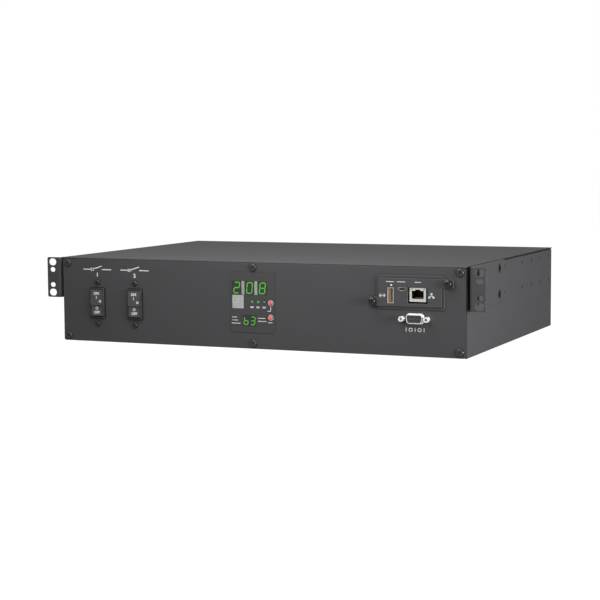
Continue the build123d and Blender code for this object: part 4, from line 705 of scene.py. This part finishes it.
# Card: a network card on a coated faceplate over a raised frame, slid in on nylon rails. Its ports are plated
# shells soldered to the card, and the serial port below it is held by two jackscrews.
dress(case_nylon, "card_rails")
insert_nylon = moulded("insert_nylon", 62, 0.4)
dress(insert_nylon, "serial_port_insert")
dress(gold, "ethernet_contacts")
shell_metal = Finish("plated_shell", Metallic=0.15)
shell_cloud = shell_metal.noise(scale=300, detail=3)
shell_metal.set(Base_Color=shell_metal.blend(tone(250, 249, 247), tone(238, 237, 235), shell_cloud),
                Roughness=0.24 + shell_cloud * 0.14)
shell_metal.bump(shell_metal.noise(scale=900, stretch=(1, 6, 1)), strength=0.05, distance=0.00005,
                 under=shell_metal.rounded(radius=0.0002))
dress(shell_metal, "serial_port_shell", "serial_jackscrews", "card_cage")


def port_shell(name, shade, hollow_shade, middle, half_width, low, high, front):
    """Plated shell round a port's cavity, which is lined with moulded plastic; places in millimetres."""
    port = Finish(name)
    cloud = port.noise(scale=500, detail=3)
    sideways = (port.along("X") - middle / 1000).size()
    height = port.along("Z")
    cavity = sideways.below(half_width / 1000) * height.above(low / 1000) * height.below(high / 1000)
    cavity = cavity * port.along("Y").above(front / 1000)
    plate = port.blend(tone(*shade), tone(*(value - 14 for value in shade)), cloud)
    port.set(Base_Color=port.blend(plate, tone(*hollow_shade), cavity), Metallic=0.4 - cavity * 0.4,
             Roughness=0.24 + cavity * 0.3 + cloud * 0.08)
    return port


jack_shell = port_shell("jack_shell", (236, 233, 226), (8, 8, 8),
                        middle=172.25, half_width=5.98, low=55.55, high=64.45, front=-157.79)
dress(jack_shell, "ethernet_jack")
host_shell = port_shell("host_shell", (252, 247, 236), (138, 114, 92),
                        middle=145.1, half_width=2.0, low=51.6, high=64.9, front=-158.55)
dress(host_shell, "usb_port")
small_shell = port_shell("small_shell", (206, 206, 208), (30, 30, 32),
                         middle=156.4, half_width=3.1, low=63.6, high=65.5, front=-158.15)
dress(small_shell, "micro_usb_port")

jack_face = -157.83
jack_windows = (  # name, corners, dark and bright tint
    ("jack_lamp_left", (164.7, 63.75, 167.7, 65.65), (160, 164, 96), (188, 190, 128)),
    ("jack_lamp_right", (176.8, 63.75, 179.8, 65.65), (128, 158, 146), (158, 184, 172)),
)
for name, corners, dark, bright in jack_windows:
    window = placed(stroke_mesh(boxes=[corners]), 0, jack_face, 0)
    new_piece(name, window, lens(name + "_lens", dark, bright, glow=0.15))

card_face = -158.2
double_arrow = [
    (133.4, 58.0, 139.9, 58.0), (133.4, 58.0, 135.0, 59.4), (133.4, 58.0, 135.0, 56.6),
    (139.9, 58.0, 138.3, 59.4), (139.9, 58.0, 138.3, 56.6),
]
network_links = [
    (186.0, 59.3, 186.0, 60.6), (184.0, 58.6, 188.0, 58.6), (184.0, 58.6, 184.0, 57.8),
    (188.0, 58.6, 188.0, 57.8),
]
network_boxes = [(185.0, 59.9, 187.0, 61.4), (183.0, 56.5, 185.0, 58.0), (187.0, 56.5, 189.0, 58.0)]
port_dashes = [(140.9, 71.4, 148.2, 71.4), (151.7, 71.4, 159.3, 71.4), (169.6, 71.4, 175.2, 71.4)]
card_marks = stroke_mesh(double_arrow + network_links + port_dashes, boxes=network_boxes)
new_piece("card_print", placed(card_marks, 0, card_face, 0), ink)


# Inside: boards of green glass laminate, screwed to standoffs, with relays, a transformer and capacitors
# soldered to them. Insulated wires run through current rings, and a brass stud earths the case.
def laminate(name, low, high):
    """Board laminate, its weave showing faintly through the lacquer."""
    board = Finish(name, Roughness=0.35)
    weave = board.noise(scale=500, detail=2, stretch=(1, 3, 1))
    board.set(Base_Color=board.blend(tone(*low), tone(*high), weave))
    board.bump(weave, strength=0.1, distance=0.00005)
    return board


solder_mask = laminate("solder_mask", (22, 74, 44), (34, 96, 58))
dress(solder_mask, "display_board", "card_board", "relay_boards", "floor_boards")
relay_plastic = moulded("relay_plastic", (36, 66, 122), 0.4)
dress(relay_plastic, "outlet_relays")
dark_plastic = moulded("dark_plastic", 34, 0.45)
dress(dark_plastic, "button_switches", "main_board_parts", "terminal_block")
core_steel = oxide("core_steel", 60, 0.45)
dress(core_steel, "supply_transformer")
sleeve = moulded("capacitor_sleeve", (28, 40, 58), 0.3)
dress(sleeve, "supply_capacitors")
ring_plastic = moulded("ring_plastic", (52, 84, 140), 0.4)
dress(ring_plastic, "current_rings")
jacket = moulded("wire_jacket", (26, 26, 28), 0.4)
dress(jacket, "power_wires")
ribbon = moulded("ribbon_jacket", (150, 150, 154), 0.45)
dress(ribbon, "ribbon_cables")
zinc = Finish("zinc_plate", Metallic=1.0)
zinc_cloud = zinc.noise(scale=500, detail=4)
zinc.set(Base_Color=zinc.blend(tone(176, 178, 182), tone(150, 152, 158), zinc_cloud),
         Roughness=0.32 + zinc_cloud * 0.16)
zinc.bump(zinc_cloud, strength=0.05, distance=0.00005)
dress(zinc, "wire_terminals", "board_standoffs", "board_screws")
brass = Finish("brass_bar", Metallic=1.0)
brass_cloud = brass.noise(scale=400, detail=3)
brass.set(Base_Color=brass.blend(tone(196, 160, 88), tone(168, 134, 70), brass_cloud),
          Roughness=0.3 + brass_cloud * 0.2)
dress(brass, "ground_stud")
